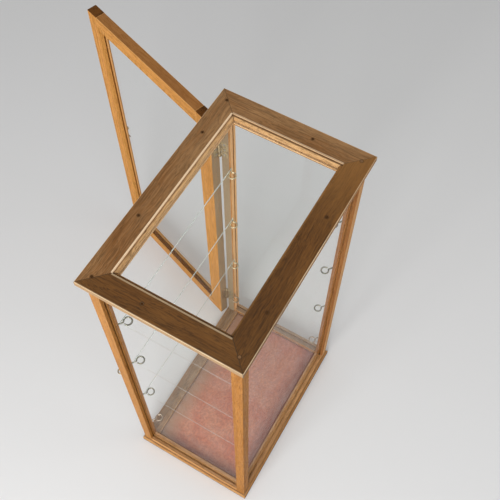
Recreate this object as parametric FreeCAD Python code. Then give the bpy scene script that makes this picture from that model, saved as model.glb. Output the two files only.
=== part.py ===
import FreeCAD, Part
import math
import os
from FreeCAD import Vector

# Glazed oak showcase for a table top, with a framed door in its back and loose glass shelves on screw eyes.
# Origin: centre of the base's underside. +X runs to the hinge end, +Y to the door, +Z up. Millimetres.

# Case
CASE_HEIGHT = 732.0
BODY_LENGTH = 360.0
BODY_DEPTH = 240.0
POST_WIDTH = 17.0
POST_ARRIS = 1.0
QUIRK_SET = 2.6
QUIRK_WIDTH = 1.0

# Base board and its lining
BASE_THICKNESS = 14.0
BASE_MARGIN = 4.0
BASE_ROUND = 3.5
LINING_THICKNESS = 1.5
LINING_CLEARANCE = 0.4

# Rails between the posts
UPPER_RAIL_HEIGHT = 22.0
LOWER_RAIL_HEIGHT = 12.0
TENON_LENGTH = 4.0
TENON_THICKNESS = 4.0
TENON_SET = 10.5
TENON_HEIGHT = 8.0
TENON_SHOULDER = 2.5
MORTISE_CLEARANCE = 0.1

# Panes in grooves
PANE_THICKNESS = 3.0
PANE_SET = 5.8
PANE_CLEARANCE = 0.2
GROOVE_DEPTH = 5.0
GROOVE_END_GAP = 0.5

# Top frame, its moulded inner edge and its pane
TOP_END_OVERHANG = 10.0
TOP_SIDE_OVERHANG = 7.5
TOP_THICKNESS = 16.0
TOP_EDGE_HEIGHT = 10.0
TOP_ARRIS = 1.2
TOP_FACE_WIDTH = 36.0
MOULD_STEP = 1.5
MOULD_RADIUS = 5.0
MOULD_LIP_DEPTH = 9.0
TOP_REBATE_WIDTH = 7.0
TOP_PANE_THICKNESS = 4.0
GLAZING_CLEARANCE = 0.15
PEG_RADIUS = 2.0
PEG_LENGTH = 28.0
PEG_CLEARANCE = 0.05
PEG_END_GAP = 0.3
LONG_SIDE_NEAR_PEG = 63.0
LONG_SIDE_FAR_PEG = 102.0
SHORT_SIDE_PEG_OFFSET = 33.0

# Screws up through the base
BASE_SCREW_RADIUS = 1.8
BASE_SCREW_HEAD_RADIUS = 3.6
BASE_SCREW_HEAD_DEPTH = 2.2
BASE_SCREW_LENGTH = 32.0
SCREW_CLEARANCE = 0.05

# Screw eyes and shelves
EYE_LEVEL_LOWEST = 106.0
EYE_LEVEL_STEP = 156.0
EYE_RING_RADIUS = 6.5
EYE_WIRE_RADIUS = 1.3
EYE_BEND_RADIUS = 2.0
EYE_OPENING = 25.0
EYE_REACH = 14.6
EYE_THREAD_LENGTH = 6.0
EYE_ANGLE = 40.0
SHELF_THICKNESS = 4.0
SHELF_CLEARANCE = 2.0
SHELF_SEAT_GAP = 0.2

# Door
DOOR_THICKNESS = 18.0
DOOR_PROUD = 4.0
DOOR_GAP = 2.0
DOOR_OPEN_ANGLE = 109.0
HINGE_STILE_WIDTH = 33.0
FREE_STILE_WIDTH = 25.0
DOOR_RAIL_HEIGHT = 29.0
DOOR_REBATE_WIDTH = 8.5
DOOR_LIP_THICKNESS = 7.0
DOOR_LIP_CHAMFER = 5.0
DOOR_ARRIS = 1.0
DOOR_BEAD_SET_BACK = 0.8
DOOR_TENON_LENGTH = 18.0
DOOR_TENON_HEIGHT = 16.0
DOOR_TENON_THICKNESS = 6.0
SILL_WIDTH = 9.0
SILL_HEIGHT = 6.0
SILL_CLEARANCE = 0.5

# Butt hinges
HINGE_INSET = 75.0
HINGE_HEIGHT = 40.0
HINGE_LEAF_THICKNESS = 1.2
HINGE_LEAF_DEPTH = 12.0
HINGE_KNUCKLE_RADIUS = 3.0
HINGE_KNUCKLE_COUNT = 5
HINGE_KNUCKLE_GAP = 0.2
HINGE_PIN_RADIUS = 1.4
HINGE_PIN_CLEARANCE = 0.05
HINGE_PIN_HEAD_RADIUS = 2.4
HINGE_PIN_HEAD_HEIGHT = 1.6
HINGE_PIN_SET = 0.8
HINGE_SWING_CLEARANCE = 0.4
HINGE_SCREW_RADIUS = 1.2
HINGE_SCREW_HEAD_RADIUS = 2.2
HINGE_SCREW_LENGTH = 9.0
HINGE_SCREW_PITCH = 13.0
HINGE_SCREW_BACK = 6.0

# Hook catch at half height
CATCH_HEIGHT = 366.0
CATCH_STANDOFF = 4.0
CATCH_STUD_INSET = 9.0
CATCH_STUD_RADIUS = 1.6
CATCH_STUD_CLEARANCE = 0.06
CATCH_STUD_THREAD = 10.0
CATCH_STUD_HEAD_RADIUS = 3.4
CATCH_STUD_HEAD_HEIGHT = 1.6
CATCH_COLLAR_RADIUS = 3.0
CATCH_PLAY = 0.15
HOOK_EYE_RADIUS = 3.6
HOOK_EYE_THICKNESS = 2.8
HOOK_WIRE_RADIUS = 1.1
HOOK_BEND_RADIUS = 2.2
HOOK_TIP_LENGTH = 8.0
HOOK_TIP_ROUND = 0.7
CATCH_RING_RADIUS = 5.0
CATCH_BEND_RADIUS = 1.8
CATCH_THREAD_LENGTH = 9.0

# Sizes that follow from those above
HALF_LENGTH = BODY_LENGTH / 2
HALF_DEPTH = BODY_DEPTH / 2
TOP_LENGTH = BODY_LENGTH + 2 * TOP_END_OVERHANG
TOP_DEPTH = BODY_DEPTH + 2 * TOP_SIDE_OVERHANG
INNER_X = HALF_LENGTH - POST_WIDTH
INNER_Y = HALF_DEPTH - POST_WIDTH
FRAME_TOP = CASE_HEIGHT - TOP_THICKNESS
HEADER_BOTTOM = FRAME_TOP - UPPER_RAIL_HEIGHT
TOP_OPENING_SET = TOP_FACE_WIDTH + MOULD_RADIUS
EYE_LEVELS = [EYE_LEVEL_LOWEST + EYE_LEVEL_STEP * step for step in range(4)]
SHELF_BOTTOMS = [level + EYE_WIRE_RADIUS + SHELF_SEAT_GAP for level in EYE_LEVELS[1:]]
DOOR_FACE_Y = HALF_DEPTH + DOOR_PROUD
DOOR_BACK_Y = DOOR_FACE_Y - DOOR_THICKNESS
DOOR_EDGE_X = INNER_X - DOOR_GAP
DOOR_BOTTOM = BASE_THICKNESS + DOOR_GAP
DOOR_TOP = HEADER_BOTTOM - DOOR_GAP
PIN_X = INNER_X - DOOR_GAP / 2
PIN_Y = DOOR_FACE_Y - HINGE_PIN_SET
HINGE_CENTRES = {"lower": DOOR_BOTTOM + HINGE_INSET, "upper": DOOR_TOP - HINGE_INSET}
CATCH_STUD_X = -DOOR_EDGE_X + CATCH_STUD_INSET
CATCH_EYE_X = -(HALF_LENGTH - POST_WIDTH / 2)
CATCH_PLANE_Y = DOOR_FACE_Y + CATCH_STANDOFF
UP = Vector(0, 0, 1)


def box(x_span, y_span, z_span):
    """Solid block between pairs of limits, given in any order."""
    low = Vector(min(x_span), min(y_span), min(z_span))
    high = Vector(max(x_span), max(y_span), max(z_span))
    size = high - low
    return Part.makeBox(size.x, size.y, size.z, low)


def rod(radius, start, end):
    """Round bar between two points."""
    return Part.makeCylinder(radius, (end - start).Length, start, end - start)


def prism(points, sweep):
    """Solid made by moving a flat outline of points along a vector."""
    outline = Part.makePolygon(points + [points[0]])
    return Part.Face(outline).extrude(sweep)


def cut_all(solid, tools):
    """A solid less every tool in the list."""
    return solid.cut(tools) if tools else solid


def turned(shape, degrees):
    """A copy of a shape, turned about the case's upright axis."""
    copy = shape.copy()
    copy.rotate(Vector(0, 0, 0), UP, degrees)
    return copy


def swung(shape):
    """A door piece, made with the door shut, moved to the door's open place."""
    copy = shape.copy()
    copy.rotate(Vector(PIN_X, PIN_Y, 0), UP, -DOOR_OPEN_ANGLE)
    return copy


def countersunk_screw(face_point, direction, length, radius, head_radius, head_depth, clearance=0.0):
    """Screw with its head flush at face_point, or its hole if a clearance is given."""
    along = Vector(direction)
    along.normalize()
    head = Part.makeCone(head_radius + clearance, radius + clearance, head_depth, face_point, along)
    shank = rod(radius + clearance, face_point, face_point + along * (length + clearance))
    return head.fuse(shank).removeSplitter()


def mitred_bars(length, depth, face, thickness):
    """Four mitred bars round a rectangle in the XY plane, thickness along +Z."""
    bars = []
    for quarter in range(4):
        along, across = (length, depth) if quarter % 2 == 0 else (depth, length)
        outer = along / 2
        inner = outer - face
        points = [
            Vector(-outer, -across / 2, 0),
            Vector(outer, -across / 2, 0),
            Vector(inner, -across / 2 + face, 0),
            Vector(-inner, -across / 2 + face, 0),
        ]
        bars.append(turned(prism(points, Vector(0, 0, thickness)), 90 * quarter))
    return bars


# Eyes: bent wire with a ring level with the shelf, on a shank that leaves the post's inner corner

def eye_direction(sign_x, sign_y):
    """Level unit vector from a post's inner corner into the case."""
    angle = math.radians(EYE_ANGLE)
    return Vector(-sign_x * math.cos(angle), -sign_y * math.sin(angle), 0)


def screw_eye(root, direction, ring_radius, bend_radius, wire_radius, reach, thread):
    """Eye bent from one wire: a shank out of the wood, a bend and a level ring that ends beside the shank."""
    centre = root + direction * reach
    side = UP.cross(direction)

    def at(along, across):
        return centre + direction * along + side * across

    def on_ring(degrees):
        angle = math.radians(degrees)
        return at(ring_radius * math.cos(angle), ring_radius * math.sin(angle))

    bend_along = -math.sqrt(ring_radius * (ring_radius + 2 * bend_radius))
    meet = math.degrees(math.atan2(bend_radius, bend_along))
    turn = math.radians((meet - 270) / 2)
    half_bend = at(bend_along + bend_radius * math.cos(turn), bend_radius * (1 + math.sin(turn)))
    ring_end = EYE_OPENING - 180
    start = root - direction * thread
    bend_start = at(bend_along, 0)
    route = Part.Wire([Part.LineSegment(start, bend_start).toShape(),
                       Part.Arc(bend_start, half_bend, on_ring(meet)).toShape(),
                       Part.Arc(on_ring(meet), on_ring((meet + ring_end) / 2), on_ring(ring_end)).toShape()])
    section = Part.Wire(Part.makeCircle(wire_radius, start, direction))
    return route.makePipeShell([section], True, False)


def shelf_eyes(level):
    """Four eyes of one level, one at each post."""
    eyes = []
    for sign_x in (-1, 1):
        for sign_y in (-1, 1):
            root = Vector(sign_x * INNER_X, sign_y * INNER_Y, level)
            direction = eye_direction(sign_x, sign_y)
            eyes.append(screw_eye(root, direction, EYE_RING_RADIUS, EYE_BEND_RADIUS, EYE_WIRE_RADIUS,
                                  EYE_REACH, EYE_THREAD_LENGTH))
    return eyes


def shelf(bottom):
    """Loose glass shelf that passes between the posts."""
    half_x = INNER_X - SHELF_CLEARANCE
    half_y = INNER_Y - SHELF_CLEARANCE
    return box((-half_x, half_x), (-half_y, half_y), (bottom, bottom + SHELF_THICKNESS))


# Pegs and screws that hold the frame

def peg_places():
    """Plan places of the pegs: over each post, two on a long side and one on a short side."""
    line_x = HALF_LENGTH - POST_WIDTH / 2
    line_y = HALF_DEPTH - POST_WIDTH / 2
    places = [(sx * line_x, sy * line_y) for sx in (-1, 1) for sy in (-1, 1)]
    places += [(side * along, side * line_y) for side in (-1, 1)
               for along in (LONG_SIDE_FAR_PEG, -LONG_SIDE_NEAR_PEG)]
    places += [(-line_x, SHORT_SIDE_PEG_OFFSET), (line_x, -SHORT_SIDE_PEG_OFFSET)]
    return places


def pegs(clearance=0.0, end_gap=0.0):
    """Round pegs down through the top frame, or their holes."""
    bottom = CASE_HEIGHT - PEG_LENGTH - end_gap
    radius = PEG_RADIUS + clearance
    return [rod(radius, Vector(x, y, bottom), Vector(x, y, CASE_HEIGHT)) for x, y in peg_places()]


def base_screws(clearance=0.0):
    """Screws from below the base into the middle of each post, or their holes."""
    line_x = HALF_LENGTH - POST_WIDTH / 2
    line_y = HALF_DEPTH - POST_WIDTH / 2
    return [
        countersunk_screw(Vector(sx * line_x, sy * line_y, 0), UP, BASE_SCREW_LENGTH, BASE_SCREW_RADIUS,
                          BASE_SCREW_HEAD_RADIUS, BASE_SCREW_HEAD_DEPTH, clearance)
        for sx in (-1, 1) for sy in (-1, 1)
    ]


# Posts, rails and base

def base_board():
    """Base board with its upper edge rounded, drilled for the base screws."""
    half_x = HALF_LENGTH + BASE_MARGIN
    half_y = HALF_DEPTH + BASE_MARGIN
    board = box((-half_x, half_x), (-half_y, half_y), (0, BASE_THICKNESS))
    upper = [edge for edge in board.Edges if edge.BoundBox.ZMin > BASE_THICKNESS / 2]
    board = board.makeFillet(min(BASE_ROUND, BASE_THICKNESS / 2), upper)
    return cut_all(board, base_screws(SCREW_CLEARANCE))


def velvet_lining():
    """Thin covered card that lies on the base between the rails and the sill."""
    half_x = INNER_X - LINING_CLEARANCE
    front = -INNER_Y + LINING_CLEARANCE
    back = DOOR_BACK_Y - SILL_CLEARANCE - SILL_WIDTH - LINING_CLEARANCE
    return box((-half_x, half_x), (front, back), (BASE_THICKNESS, BASE_THICKNESS + LINING_THICKNESS))


def rail_tenons(across, extra):
    """Stub tenons of the upper rails. across picks rails along X, which sit above those along Y."""
    high = FRAME_TOP - TENON_SHOULDER
    low = FRAME_TOP - UPPER_RAIL_HEIGHT + TENON_SHOULDER
    heights = (high - TENON_HEIGHT, high) if across else (low, low + TENON_HEIGHT)
    tenons = []
    for sx in (-1, 1):
        for sy in (-1, 1):
            if across:
                x_span = (sx * INNER_X, sx * (INNER_X + TENON_LENGTH + extra))
                y_span = (sy * (HALF_DEPTH - TENON_SET), sy * (HALF_DEPTH - TENON_SET - TENON_THICKNESS))
            else:
                x_span = (sx * (HALF_LENGTH - TENON_SET), sx * (HALF_LENGTH - TENON_SET - TENON_THICKNESS))
                y_span = (sy * INNER_Y, sy * (INNER_Y + TENON_LENGTH + extra))
            tenons.append(box(x_span, y_span, heights))
    return tenons


def groove_spans():
    """Distances from an outer face at which a pane's groove starts and ends."""
    return PANE_SET - PANE_CLEARANCE, PANE_SET + PANE_THICKNESS + PANE_CLEARANCE


def rail_blank(side, sign, z_span):
    """Bar between two posts: side "long" runs along X, side "short" along Y."""
    if side == "long":
        return box((-INNER_X, INNER_X), (sign * HALF_DEPTH, sign * INNER_Y), z_span)
    return box((sign * HALF_LENGTH, sign * INNER_X), (-INNER_Y, INNER_Y), z_span)


def rail_groove(side, sign, z_span):
    """Groove along a rail for the edge of a pane."""
    near, far = groove_spans()
    if side == "long":
        return box((-INNER_X, INNER_X), (sign * (HALF_DEPTH - near), sign * (HALF_DEPTH - far)), z_span)
    return box((sign * (HALF_LENGTH - near), sign * (HALF_LENGTH - far)), (-INNER_Y, INNER_Y), z_span)


def upper_rail(side, sign, grooved):
    """Rail under the top frame, tenoned into its two posts."""
    rail = rail_blank(side, sign, (HEADER_BOTTOM, FRAME_TOP))
    for tenon in rail_tenons(side == "long", 0.0):
        middle = tenon.CenterOfMass.y if side == "long" else tenon.CenterOfMass.x
        if middle * sign > 0:
            rail = rail.fuse(tenon)
    rail = rail.removeSplitter()
    tools = pegs(PEG_CLEARANCE, PEG_END_GAP)
    if grooved:
        tools.append(rail_groove(side, sign, (HEADER_BOTTOM, HEADER_BOTTOM + GROOVE_DEPTH)))
    return cut_all(rail, tools)


def lower_rail(side, sign):
    """Rail on the base, grooved along its top."""
    top = BASE_THICKNESS + LOWER_RAIL_HEIGHT
    rail = rail_blank(side, sign, (BASE_THICKNESS, top))
    return rail.cut(rail_groove(side, sign, (top - GROOVE_DEPTH, top)))


def door_sill():
    """Low strip on the base that the shut door comes up to."""
    back = DOOR_BACK_Y - SILL_CLEARANCE
    heights = (BASE_THICKNESS, BASE_THICKNESS + SILL_HEIGHT)
    return box((-INNER_X, INNER_X), (back - SILL_WIDTH, back), heights)


def post(sign_x, sign_y, side_pane, front_pane):
    """Corner post with a rounded outer arris and a quirk beside it, grooved for the panes that it holds."""
    def place(u, v, z=BASE_THICKNESS):
        return Vector(sign_x * (HALF_LENGTH - u), sign_y * (HALF_DEPTH - v), z)

    quirk_end = QUIRK_SET + QUIRK_WIDTH
    corners = [(POST_ARRIS, 0), (QUIRK_SET, 0), (QUIRK_SET, QUIRK_WIDTH), (quirk_end, QUIRK_WIDTH),
               (quirk_end, 0), (POST_WIDTH, 0), (POST_WIDTH, POST_WIDTH), (0, POST_WIDTH), (0, POST_ARRIS)]
    points = [place(u, v) for u, v in corners]
    edges = [Part.LineSegment(a, b).toShape() for a, b in zip(points, points[1:])]
    bulge = POST_ARRIS * (1 - math.sqrt(0.5))
    edges.append(Part.Arc(points[-1], place(bulge, bulge), points[0]).toShape())
    solid = Part.Face(Part.Wire(edges)).extrude(Vector(0, 0, FRAME_TOP - BASE_THICKNESS))

    near, far = groove_spans()
    heights = (BASE_THICKNESS, FRAME_TOP)
    tools = []
    if side_pane:
        tools.append(box((sign_x * (HALF_LENGTH - near), sign_x * (HALF_LENGTH - far)),
                         (sign_y * INNER_Y, sign_y * (INNER_Y + GROOVE_DEPTH)), heights))
    if front_pane:
        tools.append(box((sign_x * INNER_X, sign_x * (INNER_X + GROOVE_DEPTH)),
                         (sign_y * (HALF_DEPTH - near), sign_y * (HALF_DEPTH - far)), heights))
    tools += rail_tenons(True, MORTISE_CLEARANCE) + rail_tenons(False, MORTISE_CLEARANCE)
    tools += pegs(PEG_CLEARANCE, PEG_END_GAP) + base_screws(SCREW_CLEARANCE)
    direction = eye_direction(sign_x, sign_y)
    for level in EYE_LEVELS:
        root = Vector(sign_x * INNER_X, sign_y * INNER_Y, level)
        bottom = root - direction * (EYE_THREAD_LENGTH + SCREW_CLEARANCE)
        tools.append(rod(EYE_WIRE_RADIUS + SCREW_CLEARANCE, bottom, root + direction * POST_WIDTH))
    return cut_all(solid, tools)


# Panes

def long_pane(sign):
    """Front pane, standing in the grooves of two posts and two rails."""
    reach = GROOVE_DEPTH - GROOVE_END_GAP
    half = INNER_X + reach
    y_span = (sign * (HALF_DEPTH - PANE_SET), sign * (HALF_DEPTH - PANE_SET - PANE_THICKNESS))
    return box((-half, half), y_span, (BASE_THICKNESS + LOWER_RAIL_HEIGHT - reach, HEADER_BOTTOM + reach))


def short_pane(sign):
    """End pane, standing in the grooves of two posts and two rails."""
    reach = GROOVE_DEPTH - GROOVE_END_GAP
    half = INNER_Y + reach
    x_span = (sign * (HALF_LENGTH - PANE_SET), sign * (HALF_LENGTH - PANE_SET - PANE_THICKNESS))
    return box(x_span, (-half, half), (BASE_THICKNESS + LOWER_RAIL_HEIGHT - reach, HEADER_BOTTOM + reach))


# Top frame

def top_profile(start_x, outer_y):
    """Section of a top member: outer arris, flat face, moulded inner edge, rebate below, cove outside."""
    def at(u, z):
        return Vector(start_x, outer_y + u, CASE_HEIGHT + z)

    def line(a, b):
        return Part.LineSegment(at(*a), at(*b)).toShape()

    def arc(a, middle, b):
        return Part.Arc(at(*a), at(*middle), at(*b)).toShape()

    half_turn = math.sqrt(0.5)
    cove = TOP_THICKNESS - TOP_EDGE_HEIGHT
    mould_bottom = -MOULD_STEP - MOULD_RADIUS
    rebate = TOP_OPENING_SET - TOP_REBATE_WIDTH
    edges = [
        line((0, -TOP_EDGE_HEIGHT), (0, -TOP_ARRIS)),
        arc((0, -TOP_ARRIS), (TOP_ARRIS * (1 - half_turn), -TOP_ARRIS * (1 - half_turn)), (TOP_ARRIS, 0)),
        line((TOP_ARRIS, 0), (TOP_FACE_WIDTH, 0)),
        line((TOP_FACE_WIDTH, 0), (TOP_FACE_WIDTH, -MOULD_STEP)),
        arc((TOP_FACE_WIDTH, -MOULD_STEP),
            (TOP_FACE_WIDTH + MOULD_RADIUS * half_turn, mould_bottom + MOULD_RADIUS * half_turn),
            (TOP_OPENING_SET, mould_bottom)),
        line((TOP_OPENING_SET, mould_bottom), (TOP_OPENING_SET, -MOULD_LIP_DEPTH)),
        line((TOP_OPENING_SET, -MOULD_LIP_DEPTH), (rebate, -MOULD_LIP_DEPTH)),
        line((rebate, -MOULD_LIP_DEPTH), (rebate, -TOP_THICKNESS)),
        line((rebate, -TOP_THICKNESS), (cove, -TOP_THICKNESS)),
        arc((cove, -TOP_THICKNESS), (cove * half_turn, cove * half_turn - TOP_THICKNESS),
            (0, -TOP_EDGE_HEIGHT)),
    ]
    return Part.Face(Part.Wire(edges))


def top_member(length, across, angle):
    """One mitred side of the top frame, turned to its place."""
    bar = top_profile(-length / 2, -across / 2).extrude(Vector(length, 0, 0))
    mitres = mitred_bars(length, across, TOP_OPENING_SET, TOP_THICKNESS)[0]
    mitres.translate(Vector(0, 0, FRAME_TOP))
    return cut_all(turned(bar.common(mitres), angle), pegs(PEG_CLEARANCE, PEG_END_GAP))


def top_rebate_size():
    """Length and depth of the rebate under the top frame."""
    inset = TOP_OPENING_SET - TOP_REBATE_WIDTH
    return TOP_LENGTH - 2 * inset, TOP_DEPTH - 2 * inset


def top_pane():
    """Pane in the rebate of the top frame."""
    length, depth = top_rebate_size()
    half_x = length / 2 - GLAZING_CLEARANCE
    half_y = depth / 2 - GLAZING_CLEARANCE
    upper = CASE_HEIGHT - MOULD_LIP_DEPTH - GLAZING_CLEARANCE
    return box((-half_x, half_x), (-half_y, half_y), (upper - TOP_PANE_THICKNESS, upper))


def top_beads():
    """Beads that hold the top pane from below, flush with the underside of the frame."""
    length, depth = top_rebate_size()
    thickness = TOP_THICKNESS - MOULD_LIP_DEPTH - TOP_PANE_THICKNESS - 2 * GLAZING_CLEARANCE
    play = 2 * GLAZING_CLEARANCE
    bars = mitred_bars(length - play, depth - play, TOP_REBATE_WIDTH, thickness)
    for bar in bars:
        bar.translate(Vector(0, 0, FRAME_TOP))
    return bars


# Door, made shut and then swung open

def door_sight():
    """Limits of the door's clear opening: low x, high x, low z, high z."""
    return (-DOOR_EDGE_X + FREE_STILE_WIDTH, DOOR_EDGE_X - HINGE_STILE_WIDTH,
            DOOR_BOTTOM + DOOR_RAIL_HEIGHT, DOOR_TOP - DOOR_RAIL_HEIGHT)


def door_pocket():
    """Space cut out of the door's frame: clear opening, chamfer outside and rebate inside."""
    x0, x1, z0, z1 = door_sight()
    clear = box((x0, x1), (DOOR_FACE_Y, DOOR_BACK_Y), (z0, z1))
    grow = DOOR_REBATE_WIDTH
    lip = DOOR_FACE_Y - DOOR_LIP_THICKNESS
    rebate = box((x0 - grow, x1 + grow), (lip, DOOR_BACK_Y), (z0 - grow, z1 + grow))

    def ring(y, wider):
        corners = [Vector(x0 - wider, y, z0 - wider), Vector(x1 + wider, y, z0 - wider),
                   Vector(x1 + wider, y, z1 + wider), Vector(x0 - wider, y, z1 + wider)]
        return Part.makePolygon(corners + corners[:1])

    outside = ring(DOOR_FACE_Y, DOOR_LIP_CHAMFER)
    inside = ring(DOOR_FACE_Y - DOOR_LIP_CHAMFER, 0)
    chamfer = Part.makeLoft([outside, inside], True, True)
    return clear.fuse([rebate, chamfer])


def door_tenons(extra):
    """Tenons at the ends of the door's rails, as four blocks: bottom pair, then top pair."""
    middle_y = (DOOR_FACE_Y + DOOR_BACK_Y) / 2
    y_span = (middle_y - DOOR_TENON_THICKNESS / 2, middle_y + DOOR_TENON_THICKNESS / 2)
    x0, x1, z0, z1 = door_sight()
    clear_wood = DOOR_RAIL_HEIGHT - DOOR_REBATE_WIDTH
    shoulder = (clear_wood - DOOR_TENON_HEIGHT) / 2
    low = (DOOR_BOTTOM + shoulder, DOOR_BOTTOM + shoulder + DOOR_TENON_HEIGHT)
    high = (DOOR_TOP - shoulder - DOOR_TENON_HEIGHT, DOOR_TOP - shoulder)
    blocks = []
    for z_span in (low, high):
        blocks.append(box((x0, x0 - DOOR_TENON_LENGTH - extra), y_span, z_span))
        blocks.append(box((x1, x1 + DOOR_TENON_LENGTH + extra), y_span, z_span))
    return blocks


def door_rail(z_span, tenons):
    """Rail of the door with a tenon at each end."""
    x0, x1 = door_sight()[:2]
    blank = box((x0, x1), (DOOR_FACE_Y, DOOR_BACK_Y), z_span)
    return blank.cut(door_pocket()).fuse(tenons).removeSplitter()


def door_stile(x_span):
    """Upright of the door, mortised for the rails, with softened outer arrises."""
    blank = box(x_span, (DOOR_FACE_Y, DOOR_BACK_Y), (DOOR_BOTTOM, DOOR_TOP))
    outer_x = max(x_span, key=abs)
    upright = [edge for edge in blank.Edges
               if edge.BoundBox.ZLength > DOOR_THICKNESS and abs(edge.CenterOfMass.x - outer_x) < DOOR_ARRIS]
    blank = blank.makeChamfer(DOOR_ARRIS, upright)
    return cut_all(blank, [door_pocket()] + door_tenons(MORTISE_CLEARANCE))


def door_hinge_stile():
    """Stile at the hinge side, with gains for the door leaves and room for the knuckles."""
    stile = door_stile((DOOR_EDGE_X, DOOR_EDGE_X - HINGE_STILE_WIDTH))
    tools = []
    for centre in HINGE_CENTRES.values():
        tools.append(leaf_plate(centre, -1, MORTISE_CLEARANCE))
        reach = HINGE_HEIGHT / 2 + HINGE_SWING_CLEARANCE + HINGE_PIN_HEAD_HEIGHT
        tools.append(rod(HINGE_KNUCKLE_RADIUS + HINGE_SWING_CLEARANCE, Vector(PIN_X, PIN_Y, centre - reach),
                         Vector(PIN_X, PIN_Y, centre + reach)))
        tools += hinge_screws(centre, -1, SCREW_CLEARANCE)
    return cut_all(stile, tools)


def door_free_stile():
    """Stile at the free side, drilled for the catch's stud."""
    stile = door_stile((-DOOR_EDGE_X, -DOOR_EDGE_X + FREE_STILE_WIDTH))
    hole = rod(CATCH_STUD_RADIUS + SCREW_CLEARANCE,
               Vector(CATCH_STUD_X, DOOR_FACE_Y - CATCH_STUD_THREAD - SCREW_CLEARANCE, CATCH_HEIGHT),
               Vector(CATCH_STUD_X, DOOR_FACE_Y, CATCH_HEIGHT))
    return stile.cut(hole)


def door_pane():
    """Pane against the lip of the door's rebate."""
    x0, x1, z0, z1 = door_sight()
    grow = DOOR_REBATE_WIDTH - GLAZING_CLEARANCE
    outer = DOOR_FACE_Y - DOOR_LIP_THICKNESS - GLAZING_CLEARANCE
    return box((x0 - grow, x1 + grow), (outer, outer - PANE_THICKNESS), (z0 - grow, z1 + grow))


def door_beads():
    """Mitred beads that hold the door's pane from inside, a little below the face of the frame."""
    x0, x1, z0, z1 = door_sight()
    grow = DOOR_REBATE_WIDTH - GLAZING_CLEARANCE
    outer = DOOR_FACE_Y - DOOR_LIP_THICKNESS - PANE_THICKNESS - 2 * GLAZING_CLEARANCE
    thickness = outer - DOOR_BACK_Y - DOOR_BEAD_SET_BACK
    bars = mitred_bars(x1 - x0 + 2 * grow, z1 - z0 + 2 * grow, grow, thickness)
    for bar in bars:
        bar.rotate(Vector(0, 0, 0), Vector(1, 0, 0), 90)
        bar.translate(Vector((x0 + x1) / 2, outer, (z0 + z1) / 2))
    return bars


# Butt hinges: two leaves with interlaced knuckles round a headed pin

def leaf_plate(centre, side, clearance=0.0):
    """Flat of a leaf: side 1 lies in the post, side -1 in the edge of the shut door."""
    inner = PIN_X + side * DOOR_GAP / 2
    outer = inner + side * HINGE_LEAF_THICKNESS
    back = (HALF_DEPTH if side > 0 else DOOR_FACE_Y) - HINGE_LEAF_DEPTH - clearance
    half = HINGE_HEIGHT / 2 + clearance
    return box((inner, outer), (back, PIN_Y), (centre - half, centre + half))


def knuckle_spans(centre, side):
    """Heights of the knuckles of one leaf: odd ones on the post, even ones on the door."""
    pitch = HINGE_HEIGHT / HINGE_KNUCKLE_COUNT
    bottom = centre - HINGE_HEIGHT / 2
    first = 0 if side > 0 else 1
    starts = [bottom + pitch * index for index in range(first, HINGE_KNUCKLE_COUNT, 2)]
    return [(start + HINGE_KNUCKLE_GAP / 2, start + pitch - HINGE_KNUCKLE_GAP / 2) for start in starts]


def hinge_leaf(centre, side):
    """Leaf with its knuckles, bored for the pin and countersunk for its screws."""
    leaf = leaf_plate(centre, side)
    gap = HINGE_KNUCKLE_GAP
    other = [rod(HINGE_KNUCKLE_RADIUS + HINGE_SWING_CLEARANCE,
                 Vector(PIN_X, PIN_Y, low - gap), Vector(PIN_X, PIN_Y, high + gap))
             for low, high in knuckle_spans(centre, -side)]
    own = [rod(HINGE_KNUCKLE_RADIUS, Vector(PIN_X, PIN_Y, low), Vector(PIN_X, PIN_Y, high))
           for low, high in knuckle_spans(centre, side)]
    leaf = leaf.cut(other).fuse(own).removeSplitter()
    half = HINGE_HEIGHT
    bore = rod(HINGE_PIN_RADIUS + HINGE_PIN_CLEARANCE, Vector(PIN_X, PIN_Y, centre - half),
               Vector(PIN_X, PIN_Y, centre + half))
    return cut_all(leaf, [bore] + hinge_screws(centre, side, SCREW_CLEARANCE))


def hinge_screws(centre, side, clearance=0.0):
    """Three screws through a leaf into the wood behind it, or their holes."""
    face = PIN_X + side * DOOR_GAP / 2
    y = (HALF_DEPTH if side > 0 else DOOR_FACE_Y) - HINGE_SCREW_BACK
    heads = [Vector(face, y, centre + HINGE_SCREW_PITCH * step) for step in (-1, 0, 1)]
    head_depth = HINGE_LEAF_THICKNESS - clearance
    return [countersunk_screw(head, Vector(side, 0, 0), HINGE_SCREW_LENGTH, HINGE_SCREW_RADIUS,
                              HINGE_SCREW_HEAD_RADIUS, head_depth, clearance) for head in heads]


def hinge_pin(centre):
    """Pin with a low button head at each end of the knuckles."""
    half = HINGE_HEIGHT / 2
    pin = rod(HINGE_PIN_RADIUS, Vector(PIN_X, PIN_Y, centre - half), Vector(PIN_X, PIN_Y, centre + half))
    for sign in (-1, 1):
        seat = Vector(PIN_X, PIN_Y, centre + sign * half)
        head = Part.makeCone(HINGE_PIN_HEAD_RADIUS, HINGE_PIN_HEAD_RADIUS / 2, HINGE_PIN_HEAD_HEIGHT,
                             seat, Vector(0, 0, sign))
        pin = pin.fuse(head)
    return pin.removeSplitter()


def hinge_post():
    """Back right post with gains and screw holes for the fixed leaves."""
    tools = []
    for centre in HINGE_CENTRES.values():
        tools.append(leaf_plate(centre, 1, MORTISE_CLEARANCE))
        tools += hinge_screws(centre, 1, SCREW_CLEARANCE)
    return cut_all(post(1, 1, True, False), tools)


# Hook catch: a stud on the door, a wire hook that turns on it and an eye on the post

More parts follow.
